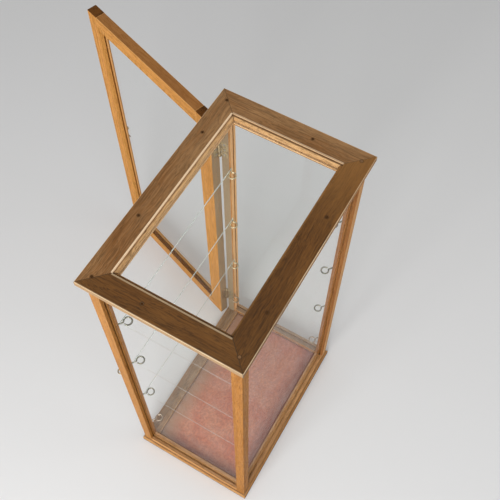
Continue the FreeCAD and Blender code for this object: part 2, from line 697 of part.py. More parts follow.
def catch_stud():
    """Shouldered stud: thread in the stile, collar, bearing for the hook and a head."""
    collar_end = CATCH_STANDOFF - HOOK_EYE_THICKNESS / 2 - CATCH_PLAY
    bearing_end = CATCH_STANDOFF + HOOK_EYE_THICKNESS / 2 + CATCH_PLAY
    steps = [(CATCH_STUD_RADIUS, -CATCH_STUD_THREAD, bearing_end), (CATCH_COLLAR_RADIUS, 0.0, collar_end),
             (CATCH_STUD_HEAD_RADIUS, bearing_end, bearing_end + CATCH_STUD_HEAD_HEIGHT)]
    bars = [rod(radius, Vector(CATCH_STUD_X, DOOR_FACE_Y + low, CATCH_HEIGHT),
                Vector(CATCH_STUD_X, DOOR_FACE_Y + high, CATCH_HEIGHT)) for radius, low, high in steps]
    return bars[0].fuse(bars[1:]).removeSplitter()


def catch_hook():
    """Wire hook hanging from the stud, its tip turned towards the hinge side."""
    reach = CATCH_STUD_X - CATCH_EYE_X
    x, z = CATCH_STUD_X, CATCH_HEIGHT
    low = z - reach
    bend = HOOK_BEND_RADIUS
    half_turn = math.sqrt(0.5)
    points = [Vector(x, CATCH_PLANE_Y, z - (HOOK_EYE_RADIUS + CATCH_STUD_RADIUS) / 2),
              Vector(x, CATCH_PLANE_Y, low + bend),
              Vector(x + bend * (1 - half_turn), CATCH_PLANE_Y, low + bend * (1 - half_turn)),
              Vector(x + bend, CATCH_PLANE_Y, low),
              Vector(x + HOOK_TIP_LENGTH, CATCH_PLANE_Y, low)]
    route = Part.Wire([Part.LineSegment(points[0], points[1]).toShape(),
                       Part.Arc(points[1], points[2], points[3]).toShape(),
                       Part.LineSegment(points[3], points[4]).toShape()])
    section = Part.Wire(Part.makeCircle(HOOK_WIRE_RADIUS, points[0], Vector(0, 0, -1)))
    wire = route.makePipeShell([section], True, False)
    tip = [edge for edge in wire.Edges if (edge.CenterOfMass - points[4]).Length < HOOK_TIP_ROUND]
    wire = wire.makeFillet(min(HOOK_TIP_ROUND, HOOK_WIRE_RADIUS * 0.9), tip)
    near = Vector(x, CATCH_PLANE_Y - HOOK_EYE_THICKNESS / 2, z)
    far = Vector(x, CATCH_PLANE_Y + HOOK_EYE_THICKNESS / 2, z)
    eye = rod(HOOK_EYE_RADIUS, near, far)
    past = Vector(0, 1, 0)
    bore = rod(CATCH_STUD_RADIUS + CATCH_STUD_CLEARANCE, near - past, far + past)
    return eye.fuse(wire).cut(bore).removeSplitter()


def catch_eye():
    """Eye in the back left post that takes the hook's tip."""
    root = Vector(CATCH_EYE_X, HALF_DEPTH, CATCH_HEIGHT)
    return screw_eye(root, Vector(0, 1, 0), CATCH_RING_RADIUS, CATCH_BEND_RADIUS, HOOK_WIRE_RADIUS,
                     CATCH_PLANE_Y - HALF_DEPTH, CATCH_THREAD_LENGTH)


def catch_post():
    """Back left post, drilled for the catch's eye."""
    hole = rod(HOOK_WIRE_RADIUS + SCREW_CLEARANCE,
               Vector(CATCH_EYE_X, HALF_DEPTH - CATCH_THREAD_LENGTH - SCREW_CLEARANCE, CATCH_HEIGHT),
               Vector(CATCH_EYE_X, HALF_DEPTH + POST_WIDTH, CATCH_HEIGHT))
    return post(-1, 1, True, False).cut(hole)


def case_nodes():
    """Pieces that stand still, by node name."""
    nodes = {
        "base_board": base_board(),
        "velvet_lining": velvet_lining(),
        "post_front_left": post(-1, -1, True, True),
        "post_front_right": post(1, -1, True, True),
        "post_back_left": catch_post(),
        "post_back_right": hinge_post(),
        "lower_rail_front": lower_rail("long", -1),
        "lower_rail_left": lower_rail("short", -1),
        "lower_rail_right": lower_rail("short", 1),
        "door_sill": door_sill(),
        "upper_rail_front": upper_rail("long", -1, True),
        "upper_rail_left": upper_rail("short", -1, True),
        "upper_rail_right": upper_rail("short", 1, True),
        "door_header": upper_rail("long", 1, False),
        "top_member_front": top_member(TOP_LENGTH, TOP_DEPTH, 0),
        "top_member_right": top_member(TOP_DEPTH, TOP_LENGTH, 90),
        "top_member_back": top_member(TOP_LENGTH, TOP_DEPTH, 180),
        "top_member_left": top_member(TOP_DEPTH, TOP_LENGTH, 270),
        "top_pane": top_pane(),
        "top_glazing_beads": top_beads(),
        "top_pegs": pegs(),
        "front_pane": long_pane(-1),
        "left_pane": short_pane(-1),
        "right_pane": short_pane(1),
        "base_screws": base_screws(),
        "catch_eye": catch_eye(),
    }
    for name, level in zip(("spare", "lower", "middle", "top"), EYE_LEVELS):
        nodes["shelf_eyes_" + name] = shelf_eyes(level)
    for name, centre in HINGE_CENTRES.items():
        nodes["hinge_post_leaf_" + name] = hinge_leaf(centre, 1)
        nodes["hinge_pin_" + name] = hinge_pin(centre)
        nodes["hinge_post_screws_" + name] = hinge_screws(centre, 1)
    return nodes


def door_nodes():
    """Pieces that swing with the door, made shut, by node name."""
    tenons = door_tenons(0.0)
    z0, z1 = door_sight()[2:]
    nodes = {
        "door_hinge_stile": door_hinge_stile(),
        "door_free_stile": door_free_stile(),
        "door_bottom_rail": door_rail((DOOR_BOTTOM, z0), tenons[:2]),
        "door_top_rail": door_rail((z1, DOOR_TOP), tenons[2:]),
        "door_pane": door_pane(),
        "door_glazing_beads": door_beads(),
        "catch_stud": catch_stud(),
        "catch_hook": catch_hook(),
    }
    for name, centre in HINGE_CENTRES.items():
        nodes["hinge_door_leaf_" + name] = hinge_leaf(centre, -1)
        nodes["hinge_door_screws_" + name] = hinge_screws(centre, -1)
    return nodes


def shelf_nodes():
    """Loose shelves, by node name."""
    return {"shelf_" + name: shelf(bottom) for name, bottom in zip(("lower", "middle", "top"), SHELF_BOTTOMS)}


def as_shape(solids):
    """One shape for a node: a solid, or a group of separate solids."""
    return Part.makeCompound(solids) if isinstance(solids, list) else solids


def build():
    """Every node's shape in its rest place."""
    shapes = {name: as_shape(solids) for name, solids in case_nodes().items()}
    shapes.update({name: swung(as_shape(solids)) for name, solids in door_nodes().items()})
    shapes.update(shelf_nodes())
    return shapes


os.makedirs("parts", exist_ok=True)
for node, shape in build().items():
    shape.exportStep("parts/" + node + ".step")
    solids = shape.Solids
    volume = sum(solid.Volume for solid in solids)
    print(node, "solids", len(solids), "valid", shape.isValid(), "volume", round(volume, 1))
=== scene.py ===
"""Dressing of a glazed oak display case: softened joinery, finishes, lining, shelves, light and camera."""

import logging
import math
from dataclasses import dataclass, field
from enum import Enum

import bmesh
import bpy
from mathutils import Matrix, Vector, noise


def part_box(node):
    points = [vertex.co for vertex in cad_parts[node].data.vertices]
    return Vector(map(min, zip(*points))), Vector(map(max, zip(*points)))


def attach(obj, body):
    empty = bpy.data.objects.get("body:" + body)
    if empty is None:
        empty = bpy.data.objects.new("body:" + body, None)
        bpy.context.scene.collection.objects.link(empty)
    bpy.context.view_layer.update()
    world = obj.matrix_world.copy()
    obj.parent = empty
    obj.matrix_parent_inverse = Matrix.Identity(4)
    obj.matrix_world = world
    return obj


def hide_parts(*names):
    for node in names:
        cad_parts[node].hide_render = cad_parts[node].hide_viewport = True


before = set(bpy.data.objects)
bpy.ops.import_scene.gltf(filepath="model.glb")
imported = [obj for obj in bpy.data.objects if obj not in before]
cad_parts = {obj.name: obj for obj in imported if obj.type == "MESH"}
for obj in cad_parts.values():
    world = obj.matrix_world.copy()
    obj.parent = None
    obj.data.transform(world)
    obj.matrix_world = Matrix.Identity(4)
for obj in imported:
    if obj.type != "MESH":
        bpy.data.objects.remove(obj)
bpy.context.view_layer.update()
LOG = logging.getLogger("display_case")
DOOR_TURN = math.radians(109)
SMOOTH_ANGLE = math.radians(40)

Colour = tuple[float, float, float]
Triple = tuple[float, float, float]
Span = tuple[float, float]
Socket = bpy.types.NodeSocket
Sockets = bpy.types.bpy_prop_collection


class Grain(Enum):
    """Direction that the fibres of a member run in, as the turn that lays them along X."""

    ALONG_X = (0.0, 0.0, 0.0)
    ALONG_Y = (0.0, 0.0, -math.pi / 2)
    ALONG_Z = (0.0, math.pi / 2, 0.0)
    ALONG_DOOR = (0.0, 0.0, DOOR_TURN - math.pi)


class Tone(Enum):
    """Painted light or shade on one side of a member: lighter, darker or grey as light falls on that side,
    named as the face attribute that marks it.
    """

    # grey painted shade, on the door's hinge edge
    PAINTED_GREY_SHADE = "grey_tone"
    # painted light: a side made lighter
    PAINTED_LIGHT = "painted_light"
    # painted shade: a side made darker
    PAINTED_SHADE = "dull"


# each painted side: the way it faces, its painted light or shade, and how strongly it shows
PaintedSides = tuple[tuple[Triple, Tone, float], ...]


@dataclass(frozen=True)
class Clouds:
    """A cloudy noise: its cells in a metre, everywhere or along each axis, and the levels of its patches."""

    scale: Triple | float
    detail: float
    low: float = 0.0
    high: float = 1.0
    roughness: float = 0.5

    def scales(self) -> Triple:
        """Cells in a metre along each axis."""
        return self.scale if isinstance(self.scale, tuple) else (self.scale, self.scale, self.scale)


class NodeBoard:
    """Places nodes in one tree and joins their sockets."""

    def __init__(self, tree: bpy.types.NodeTree) -> None:
        """Starts on a tree.

        Args:
            tree: the node tree of a material, world or group.
        """
        self.tree = tree

    def add(self, kind: str, **settings: object) -> bpy.types.Node:
        """Adds one node.

        Args:
            kind: the node's type name after "ShaderNode".
            settings: properties to set on the node.

        Returns:
            The new node.
        """
        node = self.tree.nodes.new("ShaderNode" + kind)
        for name, value in settings.items():
            setattr(node, name, value)
        return node

    def feed(self, target: Socket, value: object) -> None:
        """Joins a socket to an input, or sets the input's own value.

        Args:
            target: the input.
            value: an output socket, a number or a tuple.
        """
        if isinstance(value, bpy.types.NodeSocket):
            self.tree.links.new(value, target)
        elif isinstance(value, tuple) and target.type == "RGBA":
            target.default_value = (*value, 1.0)
        else:
            target.default_value = value

    def fill(self, node: bpy.types.Node, values: dict[str | int, object]) -> None:
        """Feeds several inputs of a node.

        Args:
            node: the node.
            values: a socket, number or tuple for each input's name or number.
        """
        for label, value in values.items():
            self.feed(node.inputs[label], value)

    def sum(self, operation: str, first: object, second: object = 0.0) -> Socket:
        """Works out one value from two.

        Args:
            operation: the Math node's operation.
            first: a socket or number.
            second: a socket or number.

        Returns:
            The result's socket.
        """
        node = self.add("Math", operation=operation)
        self.fill(node, {0: first, 1: second})
        return node.outputs[0]

    def times(self, first: object, second: object) -> Socket:
        """Multiplies two values."""
        return self.sum("MULTIPLY", first, second)

    def here(self) -> Socket:
        """Object coordinates of the point that is shaded."""
        return self.add("TexCoord").outputs["Object"]

    def axes(self, vector: Socket) -> Sockets:
        """Splits a vector into X, Y and Z.

        Args:
            vector: the vector's socket.

        Returns:
            The three outputs.
        """
        split = self.add("SeparateXYZ")
        self.feed(split.inputs[0], vector)
        return split.outputs

    def facing(self) -> Sockets:
        """X, Y and Z of the way that the face looks."""
        return self.axes(self.add("NewGeometry").outputs["True Normal"])

    def distance(self, vector: Socket, place: Triple) -> Socket:
        """Measures how far the shaded point is from a fixed one.

        Args:
            vector: the shaded point.
            place: the fixed point.

        Returns:
            The distance's socket.
        """
        gap = self.add("VectorMath", operation="DISTANCE")
        self.fill(gap, {0: vector, 1: place})
        return gap.outputs["Value"]

    def emboss(self, shader: bpy.types.Node, height: Socket, strength: float, depth: float) -> None:
        """Raises a fine relief on a surface.

        Args:
            shader: the surface's shader.
            height: the relief's height, from 0 to 1.
            strength: how strongly it shows.
            depth: how deep it is, in metres.
        """
        relief = self.add("Bump")
        self.fill(relief, {"Height": height, "Strength": strength, "Distance": depth})
        self.feed(shader.inputs["Normal"], relief.outputs[0])

    def between(self, value: Socket, low: float, high: float) -> Socket:
        """Maps a value of 0 to 1 onto another range."""
        return self.ramp(value, 0.0, 1.0, low, high)

    def ramp(self, value: Socket, low: float, high: float, to_low: float = 0.0,
             to_high: float = 1.0) -> Socket:
        """Maps a value smoothly from one range to another.

        Args:
            value: the socket to map.
            low: where the ramp begins.
            high: where the ramp ends.
            to_low: result at the beginning.
            to_high: result at the end.

        Returns:
            The mapped socket.
        """
        node = self.add("MapRange", interpolation_type="SMOOTHSTEP")
        self.fill(node, {"Value": value, "From Min": low, "From Max": high,
                         "To Min": to_low, "To Max": to_high})
        return node.outputs["Result"]

    def strip(self, value: Socket, low: float, high: float, share: float,
              blur: float = 0.0003) -> Socket:
        """Marks where a value lies between two limits.

        Args:
            value: the socket to look at.
            low: the lower limit.
            high: the upper limit.
            share: the mark's strength.
            blur: how far the mark fades on each side of a limit.

        Returns:
            The mark, which is nothing outside the limits.
        """
        off_middle = self.sum("ABSOLUTE", self.sum("SUBTRACT", value, (low + high) / 2))
        half = (high - low) / 2
        return self.ramp(off_middle, half - blur, half + blur, share, 0.0)

    def mix(self, share: object, first: object, second: object) -> Socket:
        """Mixes two colours.

        Args:
            share: how much of the second one, a socket or number.
            first: a colour or colour socket.
            second: a colour or colour socket.

        Returns:
            The mixed colour's socket.
        """
        node = self.add("Mix", data_type="RGBA")
        self.fill(node, {"Factor": share, 6: first, 7: second})
        return node.outputs[2]

    def clouds(self, vector: Socket, kind: Clouds) -> Socket:
        """Lays a cloudy noise.

        Args:
            vector: coordinates in metres.
            kind: the noise.

        Returns:
            The noise's value socket.
        """
        place = self.add("Mapping")
        self.fill(place, {"Vector": vector, "Scale": kind.scales()})
        grain = self.add("TexNoise")
        self.fill(grain, {"Vector": place.outputs["Vector"], "Scale": 1.0, "Detail": kind.detail,
                          "Roughness": kind.roughness})
        return grain.outputs[0]

    def patches(self, vector: Socket, kind: Clouds, to_low: float = 0.0, to_high: float = 1.0) -> Socket:
        """Lays a cloudy noise as patches, from one value at its low level to another at its high one."""
        return self.ramp(self.clouds(vector, kind), kind.low, kind.high, to_low, to_high)


class EffectGroup:
    """A shared effect: one node group with named inputs and outputs."""

    def __init__(self, name: str, inputs: dict[str, str], outputs: dict[str, str]) -> None:
        """Makes the empty group.

        Args:
            name: the group's name.
            inputs: socket type after "NodeSocket" for each input's name.
            outputs: socket type after "NodeSocket" for each output's name.
        """
        self.tree = bpy.data.node_groups.new(name, "ShaderNodeTree")
        for label, kind in inputs.items():
            self.tree.interface.new_socket(label, in_out="INPUT", socket_type="NodeSocket" + kind)
        for label, kind in outputs.items():
            self.tree.interface.new_socket(label, in_out="OUTPUT", socket_type="NodeSocket" + kind)
        self.board = NodeBoard(self.tree)
        self.given = self.tree.nodes.new("NodeGroupInput").outputs
        self.result = self.tree.nodes.new("NodeGroupOutput")

    def give(self, values: dict[str, Socket]) -> None:
        """Joins a socket to each of the group's outputs."""
        self.board.fill(self.result, values)

    def place(self, board: NodeBoard, **values: object) -> Sockets:
        """Puts the group in a material.

        Args:
            board: the material's board.
            values: a socket or number for each input.

        Returns:
            The placed group's outputs.
        """
        node = board.add("Group", node_tree=self.tree)
        for label, value in values.items():
            board.feed(node.inputs[label.replace("_", " ")], value)
        return node.outputs


class Effects:
    """The effects that several finishes share, each built once."""

    waver: Clouds = Clouds((9.0, 22.0, 22.0), detail=2.0)
    waver_reach: Span = (0.024, 0.017)
    bands: Clouds = Clouds((2.0, 150.0, 190.0), detail=3.0, low=0.3, high=0.7)
    lines: Clouds = Clouds((14.0, 620.0, 700.0), detail=3.0, low=0.3, high=0.7, roughness=0.6)
    dashes: Clouds = Clouds((38.0, 520.0, 560.0), detail=2.0, low=0.54, high=0.68)
    dash_share: float = 0.75
    pinholes: Clouds = Clouds((70.0, 1600.0, 1600.0), detail=1.0, low=0.56, high=0.68)
    drift: Clouds = Clouds((5.0, 16.0, 16.0), detail=2.0, low=0.3, high=0.7)
    pore_depth: float = 1.6
    blotches: Clouds = Clouds(190.0, detail=4.0, low=0.38, high=0.66)
    speckle: Clouds = Clouds(1100.0, detail=2.0, low=0.35, high=0.7)

    def __init__(self) -> None:
        """Builds the groups."""
        self.grain = self.oak_grain()
        self.tarnish = self.metal_tarnish()

    def oak_grain(self) -> EffectGroup:
        """Open oak grain along X: growth bands, fine lines, pores and slow drift.

        Returns:
            The group.
        """
        group = EffectGroup("oak_grain", {"Vector": "Vector", "Coarseness": "Float"},
                            dict.fromkeys(("Bands", "Lines", "Pores", "Drift", "Height"), "Float"))
        board = group.board
        scaled = board.add("VectorMath", operation="SCALE")
        board.fill(scaled, {0: group.given["Vector"], "Scale": group.given["Coarseness"]})
        plank = scaled.outputs[0]
        waver = board.clouds(plank, self.waver)
        shift = board.add("CombineXYZ")
        board.fill(shift, {place: board.times(waver, reach) for place, reach in zip("YZ", self.waver_reach)})
        bent = board.add("VectorMath", operation="ADD")
        board.fill(bent, {0: plank, 1: shift.outputs[0]})
        fibre = bent.outputs[0]
        lines = board.patches(fibre, self.lines)
        dashes = board.patches(fibre, self.dashes, 0.0, self.dash_share)
        pores = board.sum("MAXIMUM", dashes, board.patches(fibre, self.pinholes))
        group.give({"Bands": board.patches(fibre, self.bands), "Lines": lines, "Pores": pores,
                    "Drift": board.patches(plank, self.drift),
                    "Height": board.sum("SUBTRACT", lines, board.times(pores, self.pore_depth))})
        return group

    def metal_tarnish(self) -> EffectGroup:
        """Blotches and fine scratches of old metal.

        Returns:
            The group.
        """
        group = EffectGroup("metal_tarnish", {"Vector": "Vector"},
                            {"Blotches": "Float", "Speckle": "Float"})
        vector = group.given["Vector"]
        group.give({"Blotches": group.board.patches(vector, self.blotches),
                    "Speckle": group.board.patches(vector, self.speckle)})
        return group


@dataclass(frozen=True)
class Finish:
    """What every finish has: a name and a fresh material with its board."""

    name: str

    def blank(self, suffix: str = "") -> tuple[bpy.types.Material, NodeBoard, bpy.types.Node]:
        """Makes an empty material with a Principled shader.

        Args:
            suffix: ending of the material's name.

        Returns:
            The material, its board and the shader.
        """
        material = bpy.data.materials.new(self.name + suffix)
        material.use_nodes = True
        material.node_tree.nodes.clear()
        board = NodeBoard(material.node_tree)
        shader = board.add("BsdfPrincipled")
        output = board.add("OutputMaterial")
        board.feed(output.inputs["Surface"], shader.outputs[0])
        return material, board, shader


@dataclass(frozen=True)
class OakFinish(Finish):
    """Waxed oak: pale and deep grain, open pores, a colour of their own on faces that look up, and arrises
    rubbed pale, with painted light on the sloped faces just under the top.
    """

    pale: Colour
    deep: Colour
    pore: Colour
    edge_colour: Colour
    upward_colour: Colour = (0.27, 0.115, 0.034)
    upward_share: float = 0.75
    roughness: float = 0.5
    end_grain: Colour = (0.12, 0.052, 0.018)
    # colours of the painted sides: grey painted shade, which also greys the seat of the door post, painted
    # light and painted shade
    grey_tone: Colour = (0.320, 0.250, 0.165)
    painted_light: Colour = (0.800, 0.440, 0.190)
    dull: Colour = (0.210, 0.089, 0.040)
    flat_span: Span = (0.9, 0.99)
    line_share: float = 0.35
    pore_share: float = 0.7
    wear_drift: Span = (0.2, 0.8)
    wear_span: Span = (0.45, 1.0)
    cover_span: Span = (0.95, 0.7)
    deep_share: float = 0.25
    drift_share: float = 0.22
    band_share: float = 0.34
    streak_share: float = 0.16
    gloss_span: Span = (0.12, -0.06)
    cut_slant: Span = (0.7, 1.3)
    coarseness: float = 1.0
    bump: float = 0.35
    bump_depth: float = 0.0004
    gleam: float = 0.03

    def material(self, effects: Effects, plank: str, grain: Grain, shift: float) -> bpy.types.Material:
        """Makes the finish for one plank.

        Args:
            effects: the shared groups.
            plank: the member's name.
            grain: the way that its fibres run.
            shift: where in the wood it was cut, in metres.

        Returns:
            The material.
        """
        material, board, shader = self.blank("." + plank)
        here = board.here()
        turn = board.add("Mapping")
        cut = (shift, *(shift * slant for slant in self.cut_slant))
        board.fill(turn, {"Vector": here, "Rotation": grain.value, "Location": cut})
        wood = effects.grain.place(board, Vector=turn.outputs["Vector"], Coarseness=self.coarseness)
        colour = board.mix(wood["Bands"], self.deep, self.pale)
        colour = board.mix(board.times(wood["Lines"], self.line_share), colour, self.pale)
        if grain is Grain.ALONG_Z:
            colour = self.upward_toned(board, colour, wood, self.end_grain, self.pore, 1.0)
        else:
            colour = self.upward_toned(board, colour, wood, self.upward_colour, self.pale, self.upward_share)
        colour = board.mix(board.times(wood["Pores"], self.pore_share), colour, self.pore)
        # Arrises rubbed pale, and sloped faces under the top as painted light, take the pale edge colour.
        arris = board.add("Attribute", attribute_name="arris")
        wear_and_light = board.ramp(wood["Drift"], *self.wear_drift, *self.wear_span)
        rubbed = board.times(arris.outputs["Fac"], wear_and_light)
        colour = board.mix(rubbed, colour, self.edge_colour)
        cover = board.between(wood["Lines"], *self.cover_span)
        # Painted light and shade: each side marked with a tone is mixed toward its grey, lighter or darker
        # colour.
        for tone, shade in ((Tone.PAINTED_GREY_SHADE, self.grey_tone), (Tone.PAINTED_LIGHT, self.painted_light), (Tone.PAINTED_SHADE, self.dull)):
            side = board.add("Attribute", attribute_name=tone.value)
            colour = board.mix(board.times(side.outputs["Fac"], cover), colour, shade)
        gloss = board.between(wood["Lines"], *(self.roughness + change for change in self.gloss_span))
        board.fill(shader, {"Base Color": self.placed_marks(board, here, colour), "Roughness": gloss,
                            "Specular IOR Level": self.gleam})
        board.emboss(shader, wood["Height"], self.bump, self.bump_depth)
        return material

    def upward_toned(self, board: NodeBoard, colour: Socket, wood: Sockets,
                upward_colour: Colour, light: Colour, share: float) -> Socket:
        """Deepens the wood in patches and gives the faces that look up a colour of their own.

        Args:
            board: the material's board.
            colour: the wood's colour so far.
            wood: the grain's outputs.
            upward_colour: the colour of those faces.
            light: the colour of their paler streaks.
            share: how much of that colour shows.

        Returns:
            The colour with the faces that look up toned.
        """
        colour = board.mix(board.between(wood["Drift"], self.deep_share, 0.0), colour, self.deep)
        upward = board.ramp(board.facing()["Z"], *self.flat_span, 0.0, share)
        toned = board.mix(board.between(wood["Drift"], 0.0, self.drift_share), upward_colour, light)
        toned = board.mix(board.between(wood["Bands"], self.band_share, 0.0), toned, self.pore)
        toned = board.mix(board.between(wood["Lines"], 0.0, self.streak_share), toned, light)
        return board.mix(upward, colour, toned)

    def placed_marks(self, board: NodeBoard, vector: Socket, colour: Socket) -> Socket:
        """Leaves the colour as it is; a finish with marks in fixed places, such as grime and painted light
        and shade, adds them here.
        """
        return colour


@dataclass(frozen=True)
class WornLitEdge:
    """One straight edge of the top frame, rubbed pale by hands and painted paler as highlight, with grime
    and painted shade in the quirk on its inner side.
    """

    across: str
    along: str
    way: float
    line: float
    reach: float
    wear_and_light: float
    dirt_and_shade: float


@dataclass(frozen=True)
class MitredOak(OakFinish):
    """Oak of the top frame, with grime in its mitres and round its pegs, painted shade and sheen across it,
    and pale edges and dark quirks that are partly painted light and shade.
    """

    mitre_offset: float = 0.0625
    mitre_span: Span = (0.0003, 0.0011)
    mitre_dirt: float = 0.85
    top_level: float = 0.732
    peg_line_x: float = 0.1715
    peg_line_y: float = 0.1115
    long_side_pegs: Span = (0.102, -0.063)
    short_side_peg: float = 0.033
    peg_halo: Span = (0.0018, 0.0044)
    peg_dirt: float = 0.72
    # edges of the top frame: pale bands that are partly painted highlight, and quirks darkened partly as
    # painted shade
    worn_lit_edges: tuple[WornLitEdge, ...] = (
        WornLitEdge("Y", "X", way=1.0, line=0.0915, reach=0.154, wear_and_light=0.95, dirt_and_shade=0.22),
        WornLitEdge("X", "Y", way=1.0, line=0.154, reach=0.0915, wear_and_light=0.42, dirt_and_shade=0.75),
        WornLitEdge("X", "Y", way=-1.0, line=0.154, reach=0.0915, wear_and_light=0.33, dirt_and_shade=0.45),
        WornLitEdge("X", "Y", way=-1.0, line=0.1886, reach=0.1275, wear_and_light=0.2, dirt_and_shade=0.0))
    worn_lit_width: float = 0.0023
    quirk_width: float = 0.0028
    arris_lap: float = 0.0002
    end_blur: float = 0.0005
    # painted shade near the near corner, and painted sheen paling the top away from it
    near_corner: Triple = (-0.19, -0.1275, 0.732)
    near_span: Span = (0.05, 0.20)
    near_painted_shade: float = 0.20
    painted_sheen_span: Span = (0.20, 0.40)
    painted_sheen: float = 0.08

    def peg_places(self) -> list[Triple]:
        """Places of the pegs on the top face.

        Returns:
            One point for each peg.
        """
        places = []
        for side in (-1, 1):
            places += [(side * self.peg_line_x, end * self.peg_line_y) for end in (-1, 1)]
            places += [(side * along, side * self.peg_line_y) for along in self.long_side_pegs]
            places.append((side * self.peg_line_x, -side * self.short_side_peg))
        return [(x, y, self.top_level) for x, y in places]

    def placed_marks(self, board: NodeBoard, vector: Socket, colour: Socket) -> Socket:
        """Draws the dark line where two members meet, the painted shade and sheen across the top, the pale
        edges and dark quirks, and the grime round each peg.

        Args:
            board: the material's board.
            vector: Object coordinates.
            colour: the wood's colour so far.

        Returns:
            The colour with its grime and painted light and shade.
        """
        split = board.axes(vector)
        across = board.sum("SUBTRACT", board.sum("ABSOLUTE", split["X"]), board.sum("ABSOLUTE", split["Y"]))
        away = board.sum("ABSOLUTE", board.sum("SUBTRACT", across, self.mitre_offset))
        colour = board.mix(board.ramp(away, *self.mitre_span, self.mitre_dirt, 0.0), colour, self.pore)
        colour = self.rubbed(board, split, self.paler_tone(board, vector, colour))
        nearest: object = 1.0
        for place in self.peg_places():
            nearest = board.sum("MINIMUM", board.distance(vector, place), nearest)
        return board.mix(board.ramp(nearest, *self.peg_halo, self.peg_dirt, 0.0), colour, self.pore)

    def paler_tone(self, board: NodeBoard, vector: Socket, colour: Socket) -> Socket:
        """Paints shade on the wood near the near corner and paints it paler, as sheen, away from there.

        Args:
            board: the material's board.
            vector: Object coordinates.
            colour: the wood's colour so far.

        Returns:
            The colour with its painted shade and sheen.
        """
        reach = board.distance(vector, self.near_corner)
        colour = board.mix(board.ramp(reach, *self.near_span, self.near_painted_shade, 0.0), colour, self.pore)
        return board.mix(board.ramp(reach, *self.painted_sheen_span, 0.0, self.painted_sheen), colour, self.pale)

    def rubbed(self, board: NodeBoard, place: Sockets, colour: Socket) -> Socket:
        """Rubs the members pale along their edges, with painted highlight, and darkens the moulding's quirk
        with grime and painted shade.

        Args:
            board: the material's board.
            place: X, Y and Z of the Object coordinates.
            colour: the wood's colour so far.

        Returns:
            The colour with its pale edges and dark quirks.
        """
        for edge in self.worn_lit_edges:
            past = board.sum("SUBTRACT", board.times(place[edge.across], edge.way), edge.line)
            within = board.ramp(board.sum("ABSOLUTE", place[edge.along]), edge.reach - self.end_blur,
                                edge.reach + self.end_blur, 1.0, 0.0)
            # pale band: rubbing and painted highlight
            band = board.strip(past, -self.arris_lap, self.worn_lit_width, edge.wear_and_light)
            colour = board.mix(board.times(band, within), colour, self.edge_colour)
            # quirk: grime and painted shade
            quirk = board.strip(past, -self.quirk_width, -self.arris_lap, edge.dirt_and_shade)
            colour = board.mix(board.times(quirk, within), colour, self.pore)
        return colour


@dataclass(frozen=True)
class DoorPostOak(OakFinish):
    """Oak of the post that carries the door, grey on its inner side from the line where the door's edge
    shuts against it.
    """

    seat_span: Span = (0.1056, 0.1064)
    seat_share: float = 0.9
    inner_span: Span = (-0.97, -0.9)

    def placed_marks(self, board: NodeBoard, vector: Socket, colour: Socket) -> Socket:
        """Greys the inner side of the post from the seat line outwards.

        Args:
            board: the material's board.
            vector: Object coordinates.
            colour: the wood's colour so far.

        Returns:
            The colour with its grey seat.
        """
        inner = board.ramp(board.facing()["X"], *self.inner_span, 1.0, 0.0)
        seat = board.ramp(board.axes(vector)["Y"], *self.seat_span, 0.0, self.seat_share)
        return board.mix(board.times(inner, seat), colour, self.grey_tone)


@dataclass(frozen=True)
class FootOak(OakFinish):
    """Oak that stands on the floor, dark towards its foot with grime and with painted contact shadow where
    it meets the floor.
    """

    grime_and_shadow_span: Span = (0.0015, 0.0085)
    grime_and_shadow_share: float = 0.85
    ragged: Clouds = Clouds((55.0, 55.0, 20.0), detail=3.0)
    ragged_height: float = 0.007

    def placed_marks(self, board: NodeBoard, vector: Socket, colour: Socket) -> Socket:
        """Darkens the foot, with a ragged upper edge: grime and painted contact shadow.

        Args:
            board: the material's board.
            vector: Object coordinates.
            colour: the wood's colour so far.

        Returns:
            The colour with its grime and painted contact shadow.
        """
        ragged = board.times(board.clouds(vector, self.ragged), self.ragged_height)
        lift = board.sum("SUBTRACT", ragged, self.ragged_height / 2)
        level = board.sum("ADD", board.axes(vector)["Z"], lift)
        # grime and painted contact shadow at the foot
        return board.mix(board.ramp(level, *self.grime_and_shadow_span, self.grime_and_shadow_share, 0.0), colour, self.pore)


@dataclass(frozen=True)
class MetalFinish(Finish):
    """Old metal with tarnish blotches and dull spots."""

    bright: Colour
    tarnish: Colour
    roughness: float
    dulling: float = 0.2
    speckle_share: float = 0.3
    pitting: float = 0.2
    pit_depth: float = 0.0002

    def material(self, effects: Effects) -> bpy.types.Material:
        """Makes the finish.

        Args:
            effects: the shared groups.

        Returns:
            The material.
        """
        material, board, shader = self.blank()
        here = board.here()
        old = effects.tarnish.place(board, Vector=here)
        gloss = board.between(old["Blotches"], self.roughness, self.roughness + self.dulling)
        board.fill(shader, {"Base Color": self.aged(board, here, old), "Roughness": gloss, "Metallic": 1.0})
        board.emboss(shader, old["Speckle"], self.pitting, self.pit_depth)
        return material

    def aged(self, board: NodeBoard, vector: Socket, old: Sockets) -> Socket:
        """Spreads the tarnish over the metal.

        Args:
            board: the material's board.
            vector: Object coordinates; not used here.
            old: the tarnish's outputs.

        Returns:
            The metal's colour.
        """
        colour = board.mix(old["Blotches"], self.bright, self.tarnish)
        return board.mix(board.times(old["Speckle"], self.speckle_share), colour, self.tarnish)


